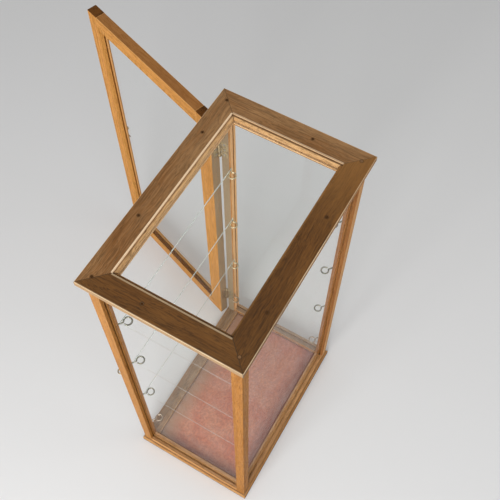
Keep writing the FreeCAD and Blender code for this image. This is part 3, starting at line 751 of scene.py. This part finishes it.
@dataclass(frozen=True)
class EyeWire(MetalFinish):
    """Wire of the screw eyes: a painted glint on those in the post of the hinges, and dusty on the lowest
    level.
    """

    # colour of the painted glint
    painted_glint: Colour = (0.56, 0.47, 0.31)
    dusty: Colour = (0.36, 0.27, 0.19)
    glint_x: Span = (0.10, 0.13)
    glint_y: Span = (0.04, 0.07)
    dusty_span: Span = (0.20, 0.21)
    dusty_share: float = 0.85

    def aged(self, board: NodeBoard, vector: Socket, old: Sockets) -> Socket:
        """Paints a glint on the eyes of the back right post and dulls the lowest ones.

        Args:
            board: the material's board.
            vector: Object coordinates.
            old: the tarnish's outputs.

        Returns:
            The metal's colour.
        """
        place = board.axes(vector)
        # painted glint: the eyes in the back right post are mixed toward a brighter colour
        bright = board.times(board.ramp(place["X"], *self.glint_x),
                             board.ramp(place["Y"], *self.glint_y))
        colour = board.mix(bright, super().aged(board, vector, old), self.painted_glint)
        low = board.ramp(place["Z"], *self.dusty_span, self.dusty_share, 0.0)
        return board.mix(low, colour, self.dusty)


@dataclass(frozen=True)
class GlassFinish(Finish):
    """Old drawn glass: clear, faintly green, with a smeared gleam and light passing straight through."""

    tint: Colour
    gleam: float
    smears: float
    sheet_ior: float = 1.0
    face_ior: float = 1.5
    face_roughness: float = 0.01
    smeared: Clouds = Clouds(24.0, detail=3.0, low=0.3, high=0.75)

    def material(self) -> bpy.types.Material:
        """Makes the finish.

        Returns:
            The material.
        """
        material, board, shader = self.blank()
        gleam = board.patches(board.here(), self.smeared, self.gleam, self.gleam + self.smears)
        board.fill(shader, {"Base Color": self.tint, "Transmission Weight": 1.0, "Roughness": 0.0,
                            "IOR": self.sheet_ior, "Coat Weight": gleam, "Coat IOR": self.face_ior,
                            "Coat Roughness": self.face_roughness})
        path = board.add("LightPath")
        through = board.sum("MAXIMUM", path.outputs["Is Shadow Ray"], path.outputs["Is Diffuse Ray"])
        clear = board.add("BsdfTransparent")
        board.fill(clear, {"Color": self.tint})
        both = board.add("MixShader")
        board.fill(both, {0: through, 1: shader.outputs[0], 2: clear.outputs[0]})
        output = next(node for node in material.node_tree.nodes if node.type == "OUTPUT_MATERIAL")
        board.fill(output, {"Surface": both.outputs[0]})
        return material


@dataclass(frozen=True)
class GroundGlass(Finish):
    """Ground edge of a glass shelf: pale, green and cloudy, with painted highlight that keeps it pale
    towards the door and dulls it away from the door.
    """

    colour: Colour
    shade: Colour
    edge_colour: Colour
    dull_share: float = 0.8
    highlight_span: Span = (0.070, 0.078)
    streaks: Clouds = Clouds((160.0, 160.0, 900.0), detail=3.0, low=0.35, high=0.7)
    gloss_span: Span = (0.38, 0.44)
    clearness: float = 0.5
    ior: float = 1.5

    def material(self) -> bpy.types.Material:
        """Makes the finish.

        Returns:
            The material.
        """
        material, board, shader = self.blank()
        here = board.here()
        streaks = board.patches(here, self.streaks)
        # painted highlight: edges towards the door keep the pale colour, the others are mixed toward the
        # duller edge colour
        away = board.ramp(board.axes(here)["Y"], *self.highlight_span, self.dull_share, 0.0)
        colour = board.mix(away, board.mix(streaks, self.shade, self.colour), self.edge_colour)
        board.fill(shader, {"Base Color": colour, "Roughness": board.between(streaks, *self.gloss_span),
                            "Transmission Weight": self.clearness, "IOR": self.ior})
        return material


@dataclass(frozen=True)
class VelvetFinish(Finish):
    """Faded rose velvet: a brushed pile with pressed patches, dark along its shaded borders."""

    rose: Colour
    paler_tone: Colour
    crushed: Colour
    shaded: Colour
    dusty: Colour
    half_width: float
    half_depth: float
    middle: float
    pressed: Clouds = Clouds(26.0, detail=4.0, low=0.32, high=0.68, roughness=0.6)
    brushed: Clouds = Clouds((120.0, 300.0, 120.0), detail=3.0, low=0.3, high=0.72, roughness=0.6)
    flecks: Clouds = Clouds(210.0, detail=4.0, low=0.38, high=0.62, roughness=0.7)
    pile: Clouds = Clouds(1700.0, detail=2.0, low=0.3, high=0.7)
    brush_share: float = 0.32
    fleck_share: float = 0.40
    pile_share: float = 0.22
    gloss_span: Span = (0.95, 0.82)
    gleam: float = 0.15
    sheen: float = 0.2
    sheen_roughness: float = 0.45
    sheen_tint: Colour = (0.95, 0.72, 0.66)
    bump: float = 0.6
    bump_depth: float = 0.0006
    ragged: Clouds = Clouds(70.0, detail=4.0, roughness=0.65)
    ragged_reach: float = 0.024
    side_span: Span = (-0.10, 0.06)
    side_share: float = 0.22
    # reach and strength of the painted shade by the rails
    rail_shade_span: Span = (0.006, 0.054)
    rail_shade_share: float = 0.9
    dusty_span: Span = (0.010, 0.060)
    dusty_share: float = 0.85

    def material(self) -> bpy.types.Material:
        """Makes the finish.

        Returns:
            The material.
        """
        material, board, shader = self.blank()
        vector = board.here()
        pressed, brushed, flecks, pile = (
            board.patches(vector, kind) for kind in (self.pressed, self.brushed, self.flecks, self.pile))
        colour = board.mix(pressed, self.rose, self.paler_tone)
        for share in (board.times(brushed, self.brush_share), board.between(flecks, self.fleck_share, 0.0),
                      board.between(pile, self.pile_share, 0.0)):
            colour = board.mix(share, colour, self.crushed)
        board.fill(shader, {"Base Color": self.bordered(board, vector, colour),
                            "Roughness": board.between(pile, *self.gloss_span),
                            "Specular IOR Level": self.gleam, "Sheen Weight": self.sheen,
                            "Sheen Roughness": self.sheen_roughness, "Sheen Tint": self.sheen_tint})
        board.emboss(shader, pile, self.bump, self.bump_depth)
        return material

    def bordered(self, board: NodeBoard, vector: Socket, colour: Socket) -> Socket:
        """Paints shade on the pile along the two sides by the rails, darkens it towards +X and dusts it
        towards the door.

        Args:
            board: the material's board.
            vector: Object coordinates.
            colour: the pile's colour so far.

        Returns:
            The colour with its borders.
        """
        split = board.axes(vector)
        ragged = board.times(board.clouds(vector, self.ragged), self.ragged_reach)
        side = board.ramp(split["X"], *self.side_span, 0.0, self.side_share)
        colour = board.mix(side, colour, self.crushed)
        from_side = board.sum("ADD", split["X"], self.half_width)
        from_front = board.sum("ADD", split["Y"], self.half_depth - self.middle)
        # painted shade cast by the rails on the two near sides
        from_rails = board.sum("ADD", board.sum("MINIMUM", from_side, from_front), ragged)
        shade = board.ramp(from_rails, *self.rail_shade_span, self.rail_shade_share, 0.0)
        colour = board.mix(shade, colour, self.shaded)
        from_door = board.sum("SUBTRACT", self.half_depth + self.middle, split["Y"])
        dust = board.ramp(board.sum("ADD", from_door, ragged), *self.dusty_span, self.dusty_share, 0.0)
        return board.mix(dust, colour, self.dusty)


@dataclass(frozen=True)
class PegFinish(Finish):
    """End grain of small pegs, dark with old polish and rubbed pale at the two front corners."""

    heart: Colour
    rim: Colour
    rubbed: Colour
    rubbed_share: float = 0.85
    front_span: Span = (-0.105, -0.100)
    corner_span: Span = (0.15, 0.16)
    cell_scale: float = 1400.0
    cell_span: Span = (0.02, 0.22)
    gloss_span: Span = (0.85, 0.65)
    gleam: float = 0.12

    def material(self) -> bpy.types.Material:
        """Makes the finish.

        Returns:
            The material.
        """
        material, board, shader = self.blank()
        here = board.here()
        cells = board.add("TexVoronoi", feature="DISTANCE_TO_EDGE")
        board.fill(cells, {"Vector": here, "Scale": self.cell_scale})
        share = board.ramp(cells.outputs["Distance"], *self.cell_span)
        place = board.axes(here)
        front = board.ramp(place["Y"], *self.front_span, self.rubbed_share, 0.0)
        corner = board.ramp(board.sum("ABSOLUTE", place["X"]), *self.corner_span)
        colour = board.mix(board.times(front, corner), board.mix(share, self.rim, self.heart), self.rubbed)
        board.fill(shader, {"Base Color": colour, "Roughness": board.between(share, *self.gloss_span),
                            "Specular IOR Level": self.gleam})
        return material


@dataclass
class Workshop:
    """The finishes of the case, made once and handed to each sub-assembly."""

    effects: Effects = field(default_factory=Effects)
    top_oak: OakFinish = MitredOak(
        "top_oak", pale=(0.40, 0.185, 0.050), deep=(0.20, 0.086, 0.020), pore=(0.040, 0.018, 0.006),
        # the near members: strong painted sheen away from the near corner
        edge_colour=(0.95, 0.75, 0.48), upward_colour=(0.140, 0.055, 0.012), upward_share=1.0, gleam=0.18, painted_sheen=0.5)
    # The far members of the top: the same oak painted paler, as painted sheen where they catch the light.
    far_top_oak_painted_sheen: OakFinish = MitredOak(
        "far_top_oak_painted_sheen", pale=(0.78, 0.48, 0.225), deep=(0.54, 0.29, 0.110), pore=(0.085, 0.040, 0.013),
        edge_colour=(1.00, 0.74, 0.48), upward_colour=(0.222, 0.083, 0.018), upward_share=1.0, gleam=0.18)
    frame_oak: OakFinish = OakFinish(
        "frame_oak", pale=(0.48, 0.212, 0.052), deep=(0.325, 0.128, 0.027), pore=(0.17, 0.062, 0.013),
        edge_colour=(0.62, 0.33, 0.11), roughness=0.48)
    hinge_post_oak: OakFinish = DoorPostOak(
        "hinge_post_oak", pale=(0.60, 0.290, 0.100), deep=(0.42, 0.180, 0.050), pore=(0.20, 0.080, 0.022),
        edge_colour=(0.72, 0.46, 0.22), painted_light=(0.95, 0.56, 0.26))
    door_oak: OakFinish = OakFinish(
        "door_oak", pale=(0.72, 0.340, 0.092), deep=(0.53, 0.228, 0.050), pore=(0.25, 0.094, 0.020),
        edge_colour=(0.78, 0.45, 0.17), upward_colour=(0.28, 0.120, 0.046), upward_share=0.85, roughness=0.48,
        end_grain=(0.050, 0.021, 0.007))
    rail_oak: OakFinish = OakFinish(
        "rail_oak", pale=(0.50, 0.215, 0.050), deep=(0.33, 0.128, 0.025), pore=(0.15, 0.058, 0.014),
        edge_colour=(0.60, 0.34, 0.13), upward_colour=(0.59, 0.345, 0.185), upward_share=0.85, roughness=0.52)
    dusty_oak: OakFinish = FootOak(
        "dusty_oak", pale=(0.44, 0.185, 0.046), deep=(0.28, 0.110, 0.024), pore=(0.085, 0.036, 0.012),
        edge_colour=(0.56, 0.32, 0.13), upward_colour=(0.37, 0.255, 0.155), upward_share=0.9, roughness=0.55)
    bead_oak: OakFinish = OakFinish(
        "bead_oak", pale=(0.72, 0.350, 0.094), deep=(0.54, 0.240, 0.054), pore=(0.24, 0.09, 0.02),
        edge_colour=(0.80, 0.42, 0.14), upward_colour=(0.55, 0.27, 0.08))
    top_bead_oak: OakFinish = OakFinish(
        "top_bead_oak", pale=(0.92, 0.62, 0.34), deep=(0.76, 0.47, 0.24), pore=(0.30, 0.14, 0.05),
        edge_colour=(0.95, 0.70, 0.42), upward_colour=(0.80, 0.52, 0.28))
    clear_glass: GlassFinish = GlassFinish("clear_glass", tint=(0.992, 0.997, 0.993), gleam=0.15, smears=0.1)
    ground_edge: GroundGlass = GroundGlass(
        # the duller colour of the shelf edges outside the painted highlight
        "ground_edge", colour=(0.84, 0.90, 0.86), shade=(0.66, 0.76, 0.70), edge_colour=(0.50, 0.43, 0.39))
    brass: MetalFinish = MetalFinish(
        "aged_brass", bright=(0.54, 0.43, 0.26), tarnish=(0.32, 0.25, 0.155), roughness=0.5)
    eye_wire: MetalFinish = EyeWire(
        "eye_wire", bright=(0.300, 0.280, 0.205), tarnish=(0.090, 0.086, 0.064), roughness=0.3)
    steel: MetalFinish = MetalFinish(
        "screw_steel", bright=(0.42, 0.40, 0.36), tarnish=(0.16, 0.13, 0.10), roughness=0.38)
    peg: PegFinish = PegFinish(
        "dark_pegs", heart=(0.085, 0.036, 0.009), rim=(0.050, 0.021, 0.006), rubbed=(0.250, 0.135, 0.062))


def give(piece: bpy.types.Object, *materials: bpy.types.Material) -> None:
    """Puts materials in a piece's slots, in order.

    Args:
        piece: the piece or CAD node.
        materials: one material for each slot.
    """
    for place, material in enumerate(materials):
        if place < len(piece.material_slots):
            piece.material_slots[place].link = "OBJECT"
            piece.material_slots[place].material = material
        else:
            piece.data.materials.append(material)


def finished(shape: bmesh.types.BMesh, name: str, body: str) -> bpy.types.Object:
    """Turns a bmesh into a piece that rides on a body.

    Args:
        shape: the finished bmesh, which is freed.
        name: the piece's name.
        body: the CAD body that it moves with.

    Returns:
        The piece.
    """
    mesh = bpy.data.meshes.new(name)
    shape.to_mesh(mesh)
    shape.free()
    if "custom_normal" in mesh.attributes:
        mesh.attributes.remove(mesh.attributes["custom_normal"])
    mesh.shade_smooth()
    mesh.set_sharp_from_angle(angle=SMOOTH_ANGLE)
    piece = bpy.data.objects.new(name, mesh)
    bpy.context.scene.collection.objects.link(piece)
    weighted = piece.modifiers.new("even_shading", "WEIGHTED_NORMAL")
    weighted.keep_sharp = True
    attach(piece, body)
    LOG.info("%s: %d faces on %s", name, len(mesh.polygons), body)
    return piece


def round_over(shape: bmesh.types.BMesh, edges: list[bmesh.types.BMEdge],
               arris: float) -> list[bmesh.types.BMFace]:
    """Rounds some edges of a form.

    Args:
        shape: the form.
        edges: the edges to round.
        arris: the width of the rounding, in metres.

    Returns:
        The faces of the rounding.
    """
    made = bmesh.ops.bevel(shape, geom=edges, offset=arris, offset_type="OFFSET", segments=2, profile=0.5,
                           affect="EDGES", clamp_overlap=True, material=-1)
    return made["faces"]


@dataclass
class OakMember:
    """One length of oak: the CAD node's own form with its edges eased and its own plank of wood."""

    node: str
    body: str
    grain: Grain
    finish: OakFinish
    slot: str
    arris: float = 0.0006
    painted_light_slope: Span = (0.3, 0.9)
    painted_light_depth: float = 0.0016
    merge_gap: float = 1e-6
    flat_angle: float = math.radians(1)
    sharp_angle: float = math.radians(32)
    side_facing: float = 0.97
    painted_sides: PaintedSides = ()

    def build(self, effects: Effects, shift: float) -> bpy.types.Object:
        """Builds and dresses the member.

        Args:
            effects: the shared groups.
            shift: where in the wood it was cut, in metres.

        Returns:
            The piece that stands for the CAD node.
        """
        piece = finished(self.eased(), self.node + ".eased", self.body)
        piece.data.materials.clear()
        give(piece, self.finish.material(effects, self.node, self.grain, shift))
        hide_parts(self.node)
        return piece

    def eased(self) -> bmesh.types.BMesh:
        """Merges a copy of the node's mesh and rounds its sharp edges, marking them as arrises; marks the
        sloped faces just under the top the same way, as painted light, and marks single sides for painted
        light and shade.

        Returns:
            The eased form.
        """
        shape = bmesh.new()
        shape.from_mesh(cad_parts[self.node].data)
        bmesh.ops.remove_doubles(shape, verts=shape.verts[:], dist=self.merge_gap)
        bmesh.ops.dissolve_limit(shape, angle_limit=self.flat_angle, verts=shape.verts[:],
                                 edges=shape.edges[:])
        mark = shape.faces.layers.float.new("arris")
        sharp = [edge for edge in shape.edges
                 if edge.is_manifold and edge.calc_face_angle(0.0) > self.sharp_angle]
        for face in round_over(shape, sharp, self.arris):
            face[mark] = 1.0
        tones = {tone: shape.faces.layers.float.new(tone.value) for tone in Tone}
        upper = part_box(self.node)[1].z
        for face in shape.faces:
            # Painted light: sloped faces just under the top are marked like arrises, so they take the pale
            # edge colour.
            leaning = self.painted_light_slope[0] < abs(face.normal.z) < self.painted_light_slope[1]
            if leaning and upper - face.calc_center_median().z < self.painted_light_depth:
                face[mark] = 1.0
            # single sides marked for painted light or shade
            for direction, tone, share in self.painted_sides:
                if face.normal.dot(Vector(direction)) > self.side_facing:
                    face[tones[tone]] = share
        return shape


@dataclass
class Joinery:
    """A set of oak members that are dressed together."""

    name: str
    body: str
    finish: OakFinish
    slot: str
    members: dict[str, Grain]
    arris: float = 0.0006
    first_cut: float = 0.0
    plank_step: float = 0.37
    painted_sides: dict[str, PaintedSides] = field(default_factory=dict)

    def build(self, effects: Effects) -> list[bpy.types.Object]:
        """Builds every member, each from its own part of the wood.

        Args:
            effects: the shared groups.

        Returns:
            The pieces.
        """
        LOG.info("joinery: %s", self.name)
        pieces = []
        for count, (node, grain) in enumerate(self.members.items()):
            member = OakMember(node, self.body, grain, self.finish, self.slot, self.arris,
                               painted_sides=self.painted_sides.get(node, ()))
            pieces.append(member.build(effects, self.first_cut + self.plank_step * count))
        return pieces


@dataclass
class Lining:
    """The velvet laid on the base board."""

    node: str = "velvet_lining"
    rests_on: str = "base_board"
    pile_height: float = 0.0011
    swell: float = 0.00022
    swell_scale: float = 45.0
    border_drop: float = 1.5
    body_share: float = 0.75
    cell: float = 0.0035
    inset: float = 0.0003

    def build(self) -> bpy.types.Object:
        """Lays the sheet, with its small swells and its turned-down border.

        Returns:
            The sheet.
        """
        low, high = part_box(self.node)
        size = high - low
        middle = (low + high) / 2
        flat = (size.x - 2 * self.inset, size.y - 2 * self.inset)
        shape = bmesh.new()
        bmesh.ops.create_grid(shape, x_segments=round(size.x / self.cell),
                              y_segments=round(size.y / self.cell), size=0.5)
        bmesh.ops.scale(shape, vec=(*flat, 1.0), verts=shape.verts[:])
        bmesh.ops.translate(shape, vec=(middle.x, middle.y, low.z + self.pile_height), verts=shape.verts[:])
        for vertex in shape.verts:
            vertex.co.z += self.swell * noise.noise(vertex.co * self.swell_scale)
            if vertex.is_boundary:
                vertex.co.z -= self.swell * self.border_drop
        sheet = finished(shape, "velvet_sheet", "case")
        sheet.modifiers.clear()
        body = sheet.modifiers.new("pile", "SOLIDIFY")
        body.thickness = self.pile_height * self.body_share
        body.offset = -1.0
        cloth = VelvetFinish(
            "rose_velvet", rose=(0.67, 0.193, 0.094), paler_tone=(0.77, 0.330, 0.190),
            # shaded: the colour of the painted shade by the rails
            crushed=(0.30, 0.098, 0.069), shaded=(0.200, 0.060, 0.043), dusty=(0.38, 0.235, 0.140),
            half_width=size.x / 2, half_depth=size.y / 2, middle=middle.y)
        give(sheet, cloth.material())
        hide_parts(self.node)
        return sheet


@dataclass
class Shelf:
    """A loose glass shelf with a ground and arrised edge."""

    node: str
    glass: bpy.types.Material
    edge: bpy.types.Material
    arris: float = 0.0003
    door_facing: float = 0.3
    left_arris: Span = (-0.99, -0.3)

    def build(self) -> bpy.types.Object:
        """Builds the slab, eases its arrises and grinds the edge towards the door and the left arrises.

        Returns:
            The piece that stands for the CAD shelf.
        """
        low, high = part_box(self.node)
        shape = bmesh.new()
        bmesh.ops.create_cube(shape, size=1.0)
        bmesh.ops.scale(shape, vec=high - low, verts=shape.verts[:])
        bmesh.ops.translate(shape, vec=(low + high) / 2, verts=shape.verts[:])
        round_over(shape, shape.edges[:], self.arris)
        for face in shape.faces:
            to_door = face.normal.y > self.door_facing
            left_arris = self.left_arris[0] < face.normal.x < self.left_arris[1]
            face.material_index = 1 if to_door or left_arris else 0
        shelf = finished(shape, self.node + ".ground", self.node)
        give(shelf, self.glass, self.edge)
        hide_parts(self.node)
        return shelf


@dataclass
class Fittings:
    """CAD nodes that keep their form and only take a finish."""

    glass_nodes: tuple[str, ...] = ("front_pane", "left_pane", "right_pane", "top_pane", "door_pane")
    brass_nodes: tuple[str, ...] = (
        "hinge_post_leaf_lower", "hinge_post_leaf_upper", "hinge_door_leaf_lower", "hinge_door_leaf_upper",
        "hinge_pin_lower", "hinge_pin_upper", "catch_eye", "catch_stud", "catch_hook")
    wire_nodes: tuple[str, ...] = (
        "shelf_eyes_spare", "shelf_eyes_lower", "shelf_eyes_middle", "shelf_eyes_top")
    steel_nodes: tuple[str, ...] = (
        "base_screws", "hinge_post_screws_lower", "hinge_post_screws_upper",
        "hinge_door_screws_lower", "hinge_door_screws_upper")
    peg_nodes: tuple[str, ...] = ("top_pegs",)
    door_bead_nodes: tuple[str, ...] = ("door_glazing_beads",)
    top_bead_nodes: tuple[str, ...] = ("top_glazing_beads",)
    door_bead_cut: float = 12.0
    top_bead_cut: float = 13.0

    def dress(self, shop: Workshop, glass: bpy.types.Material) -> None:
        """Gives each node its finish.

        Args:
            shop: the finishes.
            glass: the panes' material.
        """
        effects = shop.effects
        door_beads = shop.bead_oak.material(effects, "beads", Grain.ALONG_Z, self.door_bead_cut)
        top_beads = shop.top_bead_oak.material(effects, "beads", Grain.ALONG_X, self.top_bead_cut)
        sets = ((self.glass_nodes, glass), (self.brass_nodes, shop.brass.material(effects)),
                (self.wire_nodes, shop.eye_wire.material(effects)),
                (self.steel_nodes, shop.steel.material(effects)), (self.peg_nodes, shop.peg.material()),
                (self.door_bead_nodes, door_beads), (self.top_bead_nodes, top_beads))
        for nodes, material in sets:
            for node in nodes:
                give(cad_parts[node], material)
                LOG.info("%s: %s", node, material.name)


@dataclass(frozen=True)
class Lamp:
    """One soft square lamp: where it hangs, the point that it faces, its side and its power in watts."""

    name: str
    place: Triple
    target: Triple
    size: float
    power: float

    def hang(self) -> None:
        """Hangs the lamp."""
        lamp = bpy.data.lights.new(self.name, "AREA")
        lamp.shape = "SQUARE"
        lamp.size = self.size
        lamp.energy = self.power
        hung = bpy.data.objects.new(self.name, lamp)
        hung.location = self.place
        hung.rotation_euler = (Vector(self.target) - Vector(self.place)).to_track_quat("-Z", "Y").to_euler()
        bpy.context.scene.collection.objects.link(hung)


@dataclass
class Studio:
    """Pale floor, soft lamps, world and the camera of the photograph."""

    lamps: tuple[Lamp, ...] = (
        Lamp("key", place=(-2.1, -0.2, 1.25), target=(0.0, 0.0, 0.35), size=1.4, power=44.0),
        Lamp("fill", place=(0.9, -2.1, 1.3), target=(0.0, 0.0, 0.35), size=1.4, power=7.0),
        Lamp("overhead", place=(-0.9, -0.5, 2.4), target=(0.0, 0.0, 0.5), size=1.0, power=8.0))
    floor_reach: float = 14.0
    floor_drop: float = 0.0004
    floor_colour: Colour = (0.80, 0.80, 0.80)
    floor_fibre: Clouds = Clouds(300.0, detail=2.0)
    fibre_lift: float = 1.01
    floor_roughness: float = 0.9
    floor_gleam: float = 0.1
    world_light: float = 0.42
    backdrop_light: float = 0.66
    camera_azimuth: float = -60.3121
    camera_elevation: float = 60.3871
    camera_roll: float = 0.3817
    camera_place: Triple = (-0.47405, -0.29784, 1.62347)
    lens: float = 55.6456
    sensor: float = 36.0

    def build(self) -> None:
        """Sets up floor, world, lamps and camera."""
        self.lay_floor()
        self.light_world()
        for lamp in self.lamps:
            lamp.hang()
        self.set_camera()
        bpy.context.scene.view_settings.view_transform = "Standard"

    def lay_floor(self) -> None:
        """Lays the plain pale floor."""
        shape = bmesh.new()
        bmesh.ops.create_grid(shape, x_segments=1, y_segments=1, size=self.floor_reach)
        bmesh.ops.translate(shape, vec=(0.0, 0.0, -self.floor_drop), verts=shape.verts[:])
        mesh = bpy.data.meshes.new("floor")
        shape.to_mesh(mesh)
        shape.free()
        floor = bpy.data.objects.new("floor", mesh)
        bpy.context.scene.collection.objects.link(floor)
        material, board, shader = Finish("pale_floor").blank()
        fibre = board.clouds(board.here(), self.floor_fibre)
        paler = tuple(value * self.fibre_lift for value in self.floor_colour)
        board.fill(shader, {"Base Color": board.mix(fibre, self.floor_colour, paler),
                            "Roughness": self.floor_roughness, "Specular IOR Level": self.floor_gleam})
        give(floor, material)

    def light_world(self) -> None:
        """Gives an even pale world that shows as a pale backdrop."""
        world = bpy.data.worlds.new("studio")
        bpy.context.scene.world = world
        world.use_nodes = True
        board = NodeBoard(world.node_tree)
        back = next(node for node in world.node_tree.nodes if node.type == "BACKGROUND")
        path = board.add("LightPath")
        seen = board.sum("MAXIMUM", path.outputs["Is Camera Ray"], path.outputs["Is Transmission Ray"])
        seen = board.sum("MAXIMUM", seen, path.outputs["Is Glossy Ray"])
        strength = board.between(seen, self.world_light, self.backdrop_light)
        board.fill(back, {"Color": (1.0, 1.0, 1.0), "Strength": strength})

    def set_camera(self) -> None:
        """Puts the camera at the photograph's viewpoint."""
        turn, rise, roll = (math.radians(angle) for angle in
                            (self.camera_azimuth, self.camera_elevation, self.camera_roll))
        back = Vector((math.sin(turn) * math.cos(rise), -math.cos(turn) * math.cos(rise), math.sin(rise)))
        right = Vector((math.cos(turn), math.sin(turn), 0.0))
        upward = back.cross(right)
        right, upward = (math.cos(roll) * right + math.sin(roll) * upward,
                         math.cos(roll) * upward - math.sin(roll) * right)
        pose = Matrix((right, upward, back)).transposed().to_4x4()
        pose.translation = Vector(self.camera_place)
        lens = bpy.data.cameras.new("camera")
        lens.lens = self.lens
        lens.sensor_width = self.sensor
        camera = bpy.data.objects.new("camera", lens)
        camera.matrix_world = pose
        bpy.context.scene.collection.objects.link(camera)
        bpy.context.scene.camera = camera


def main() -> None:
    """Builds the case's sub-assemblies in order, then the studio round it."""
    logging.basicConfig(level=logging.INFO, format="%(message)s")
    shop = Workshop()
    along_x, along_y, along_z, along_door = Grain.ALONG_X, Grain.ALONG_Y, Grain.ALONG_Z, Grain.ALONG_DOOR
    front, left = (0.0, -1.0, 0.0), (-1.0, 0.0, 0.0)
    hinge_edge = (math.cos(DOOR_TURN), -math.sin(DOOR_TURN), 0.0)
    sets = (
        Joinery("top, near members", "case", shop.top_oak, "top_oak",
                {"top_member_front": along_x, "top_member_left": along_y}, arris=0.0009),
        # far members of the top, in the paler oak of painted sheen
        Joinery("top, far members", "case", shop.far_top_oak_painted_sheen, "top_oak",
                {"top_member_right": along_y, "top_member_back": along_x}, arris=0.0009, first_cut=1.0),
        Joinery("posts and upper rails", "case", shop.frame_oak, "frame_oak",
                {"post_front_left": along_z, "post_front_right": along_z, "post_back_left": along_z,
                 "upper_rail_front": along_x, "upper_rail_left": along_y, "upper_rail_right": along_y,
                 "door_header": along_x}, first_cut=2.0,
                # painted light on the front side of the front right post and painted shade on its left side;
                # a little painted light on the left side of the back left post
                painted_sides={"post_front_right": ((front, Tone.PAINTED_LIGHT, 0.6), (left, Tone.PAINTED_SHADE, 0.7)),
                             "post_back_left": ((left, Tone.PAINTED_LIGHT, 0.2),)}),
        Joinery("post of the hinges", "case", shop.hinge_post_oak, "frame_oak",
                {"post_back_right": along_z}, first_cut=5.0,
                # painted light on the front side of the post of the hinges
                painted_sides={"post_back_right": ((front, Tone.PAINTED_LIGHT, 1.0),)}),
        Joinery("near lower rails", "case", shop.rail_oak, "frame_oak",
                {"lower_rail_front": along_x, "lower_rail_left": along_y}, first_cut=6.0,
                # painted light on the left side of the near left rail
                painted_sides={"lower_rail_left": ((left, Tone.PAINTED_LIGHT, 0.6),)}),
        Joinery("base and far ledges", "case", shop.dusty_oak, "frame_oak",
                {"base_board": along_x, "lower_rail_right": along_y, "door_sill": along_x}, first_cut=7.0,
                # painted light on the left side of the base board
                painted_sides={"base_board": ((left, Tone.PAINTED_LIGHT, 0.9),)}),
        Joinery("door", "door", shop.door_oak, "frame_oak",
                {"door_hinge_stile": along_z, "door_free_stile": along_z, "door_bottom_rail": along_door,
                 "door_top_rail": along_door}, first_cut=9.0,
                # grey painted shade on the hinge edge of the hinge stile, and painted light on the free
                # stile's side that faces the same way
                painted_sides={"door_hinge_stile": ((hinge_edge, Tone.PAINTED_GREY_SHADE, 1.0),),
                             "door_free_stile": ((hinge_edge, Tone.PAINTED_LIGHT, 0.9),)}),
    )
    for joinery in sets:
        joinery.build(shop.effects)
    Lining().build()
    glass = shop.clear_glass.material()
    edge = shop.ground_edge.material()
    for node in ("shelf_lower", "shelf_middle", "shelf_top"):
        Shelf(node, glass, edge).build()
    Fittings().dress(shop, glass)
    Studio().build()


if __name__ == "__main__":
    main()
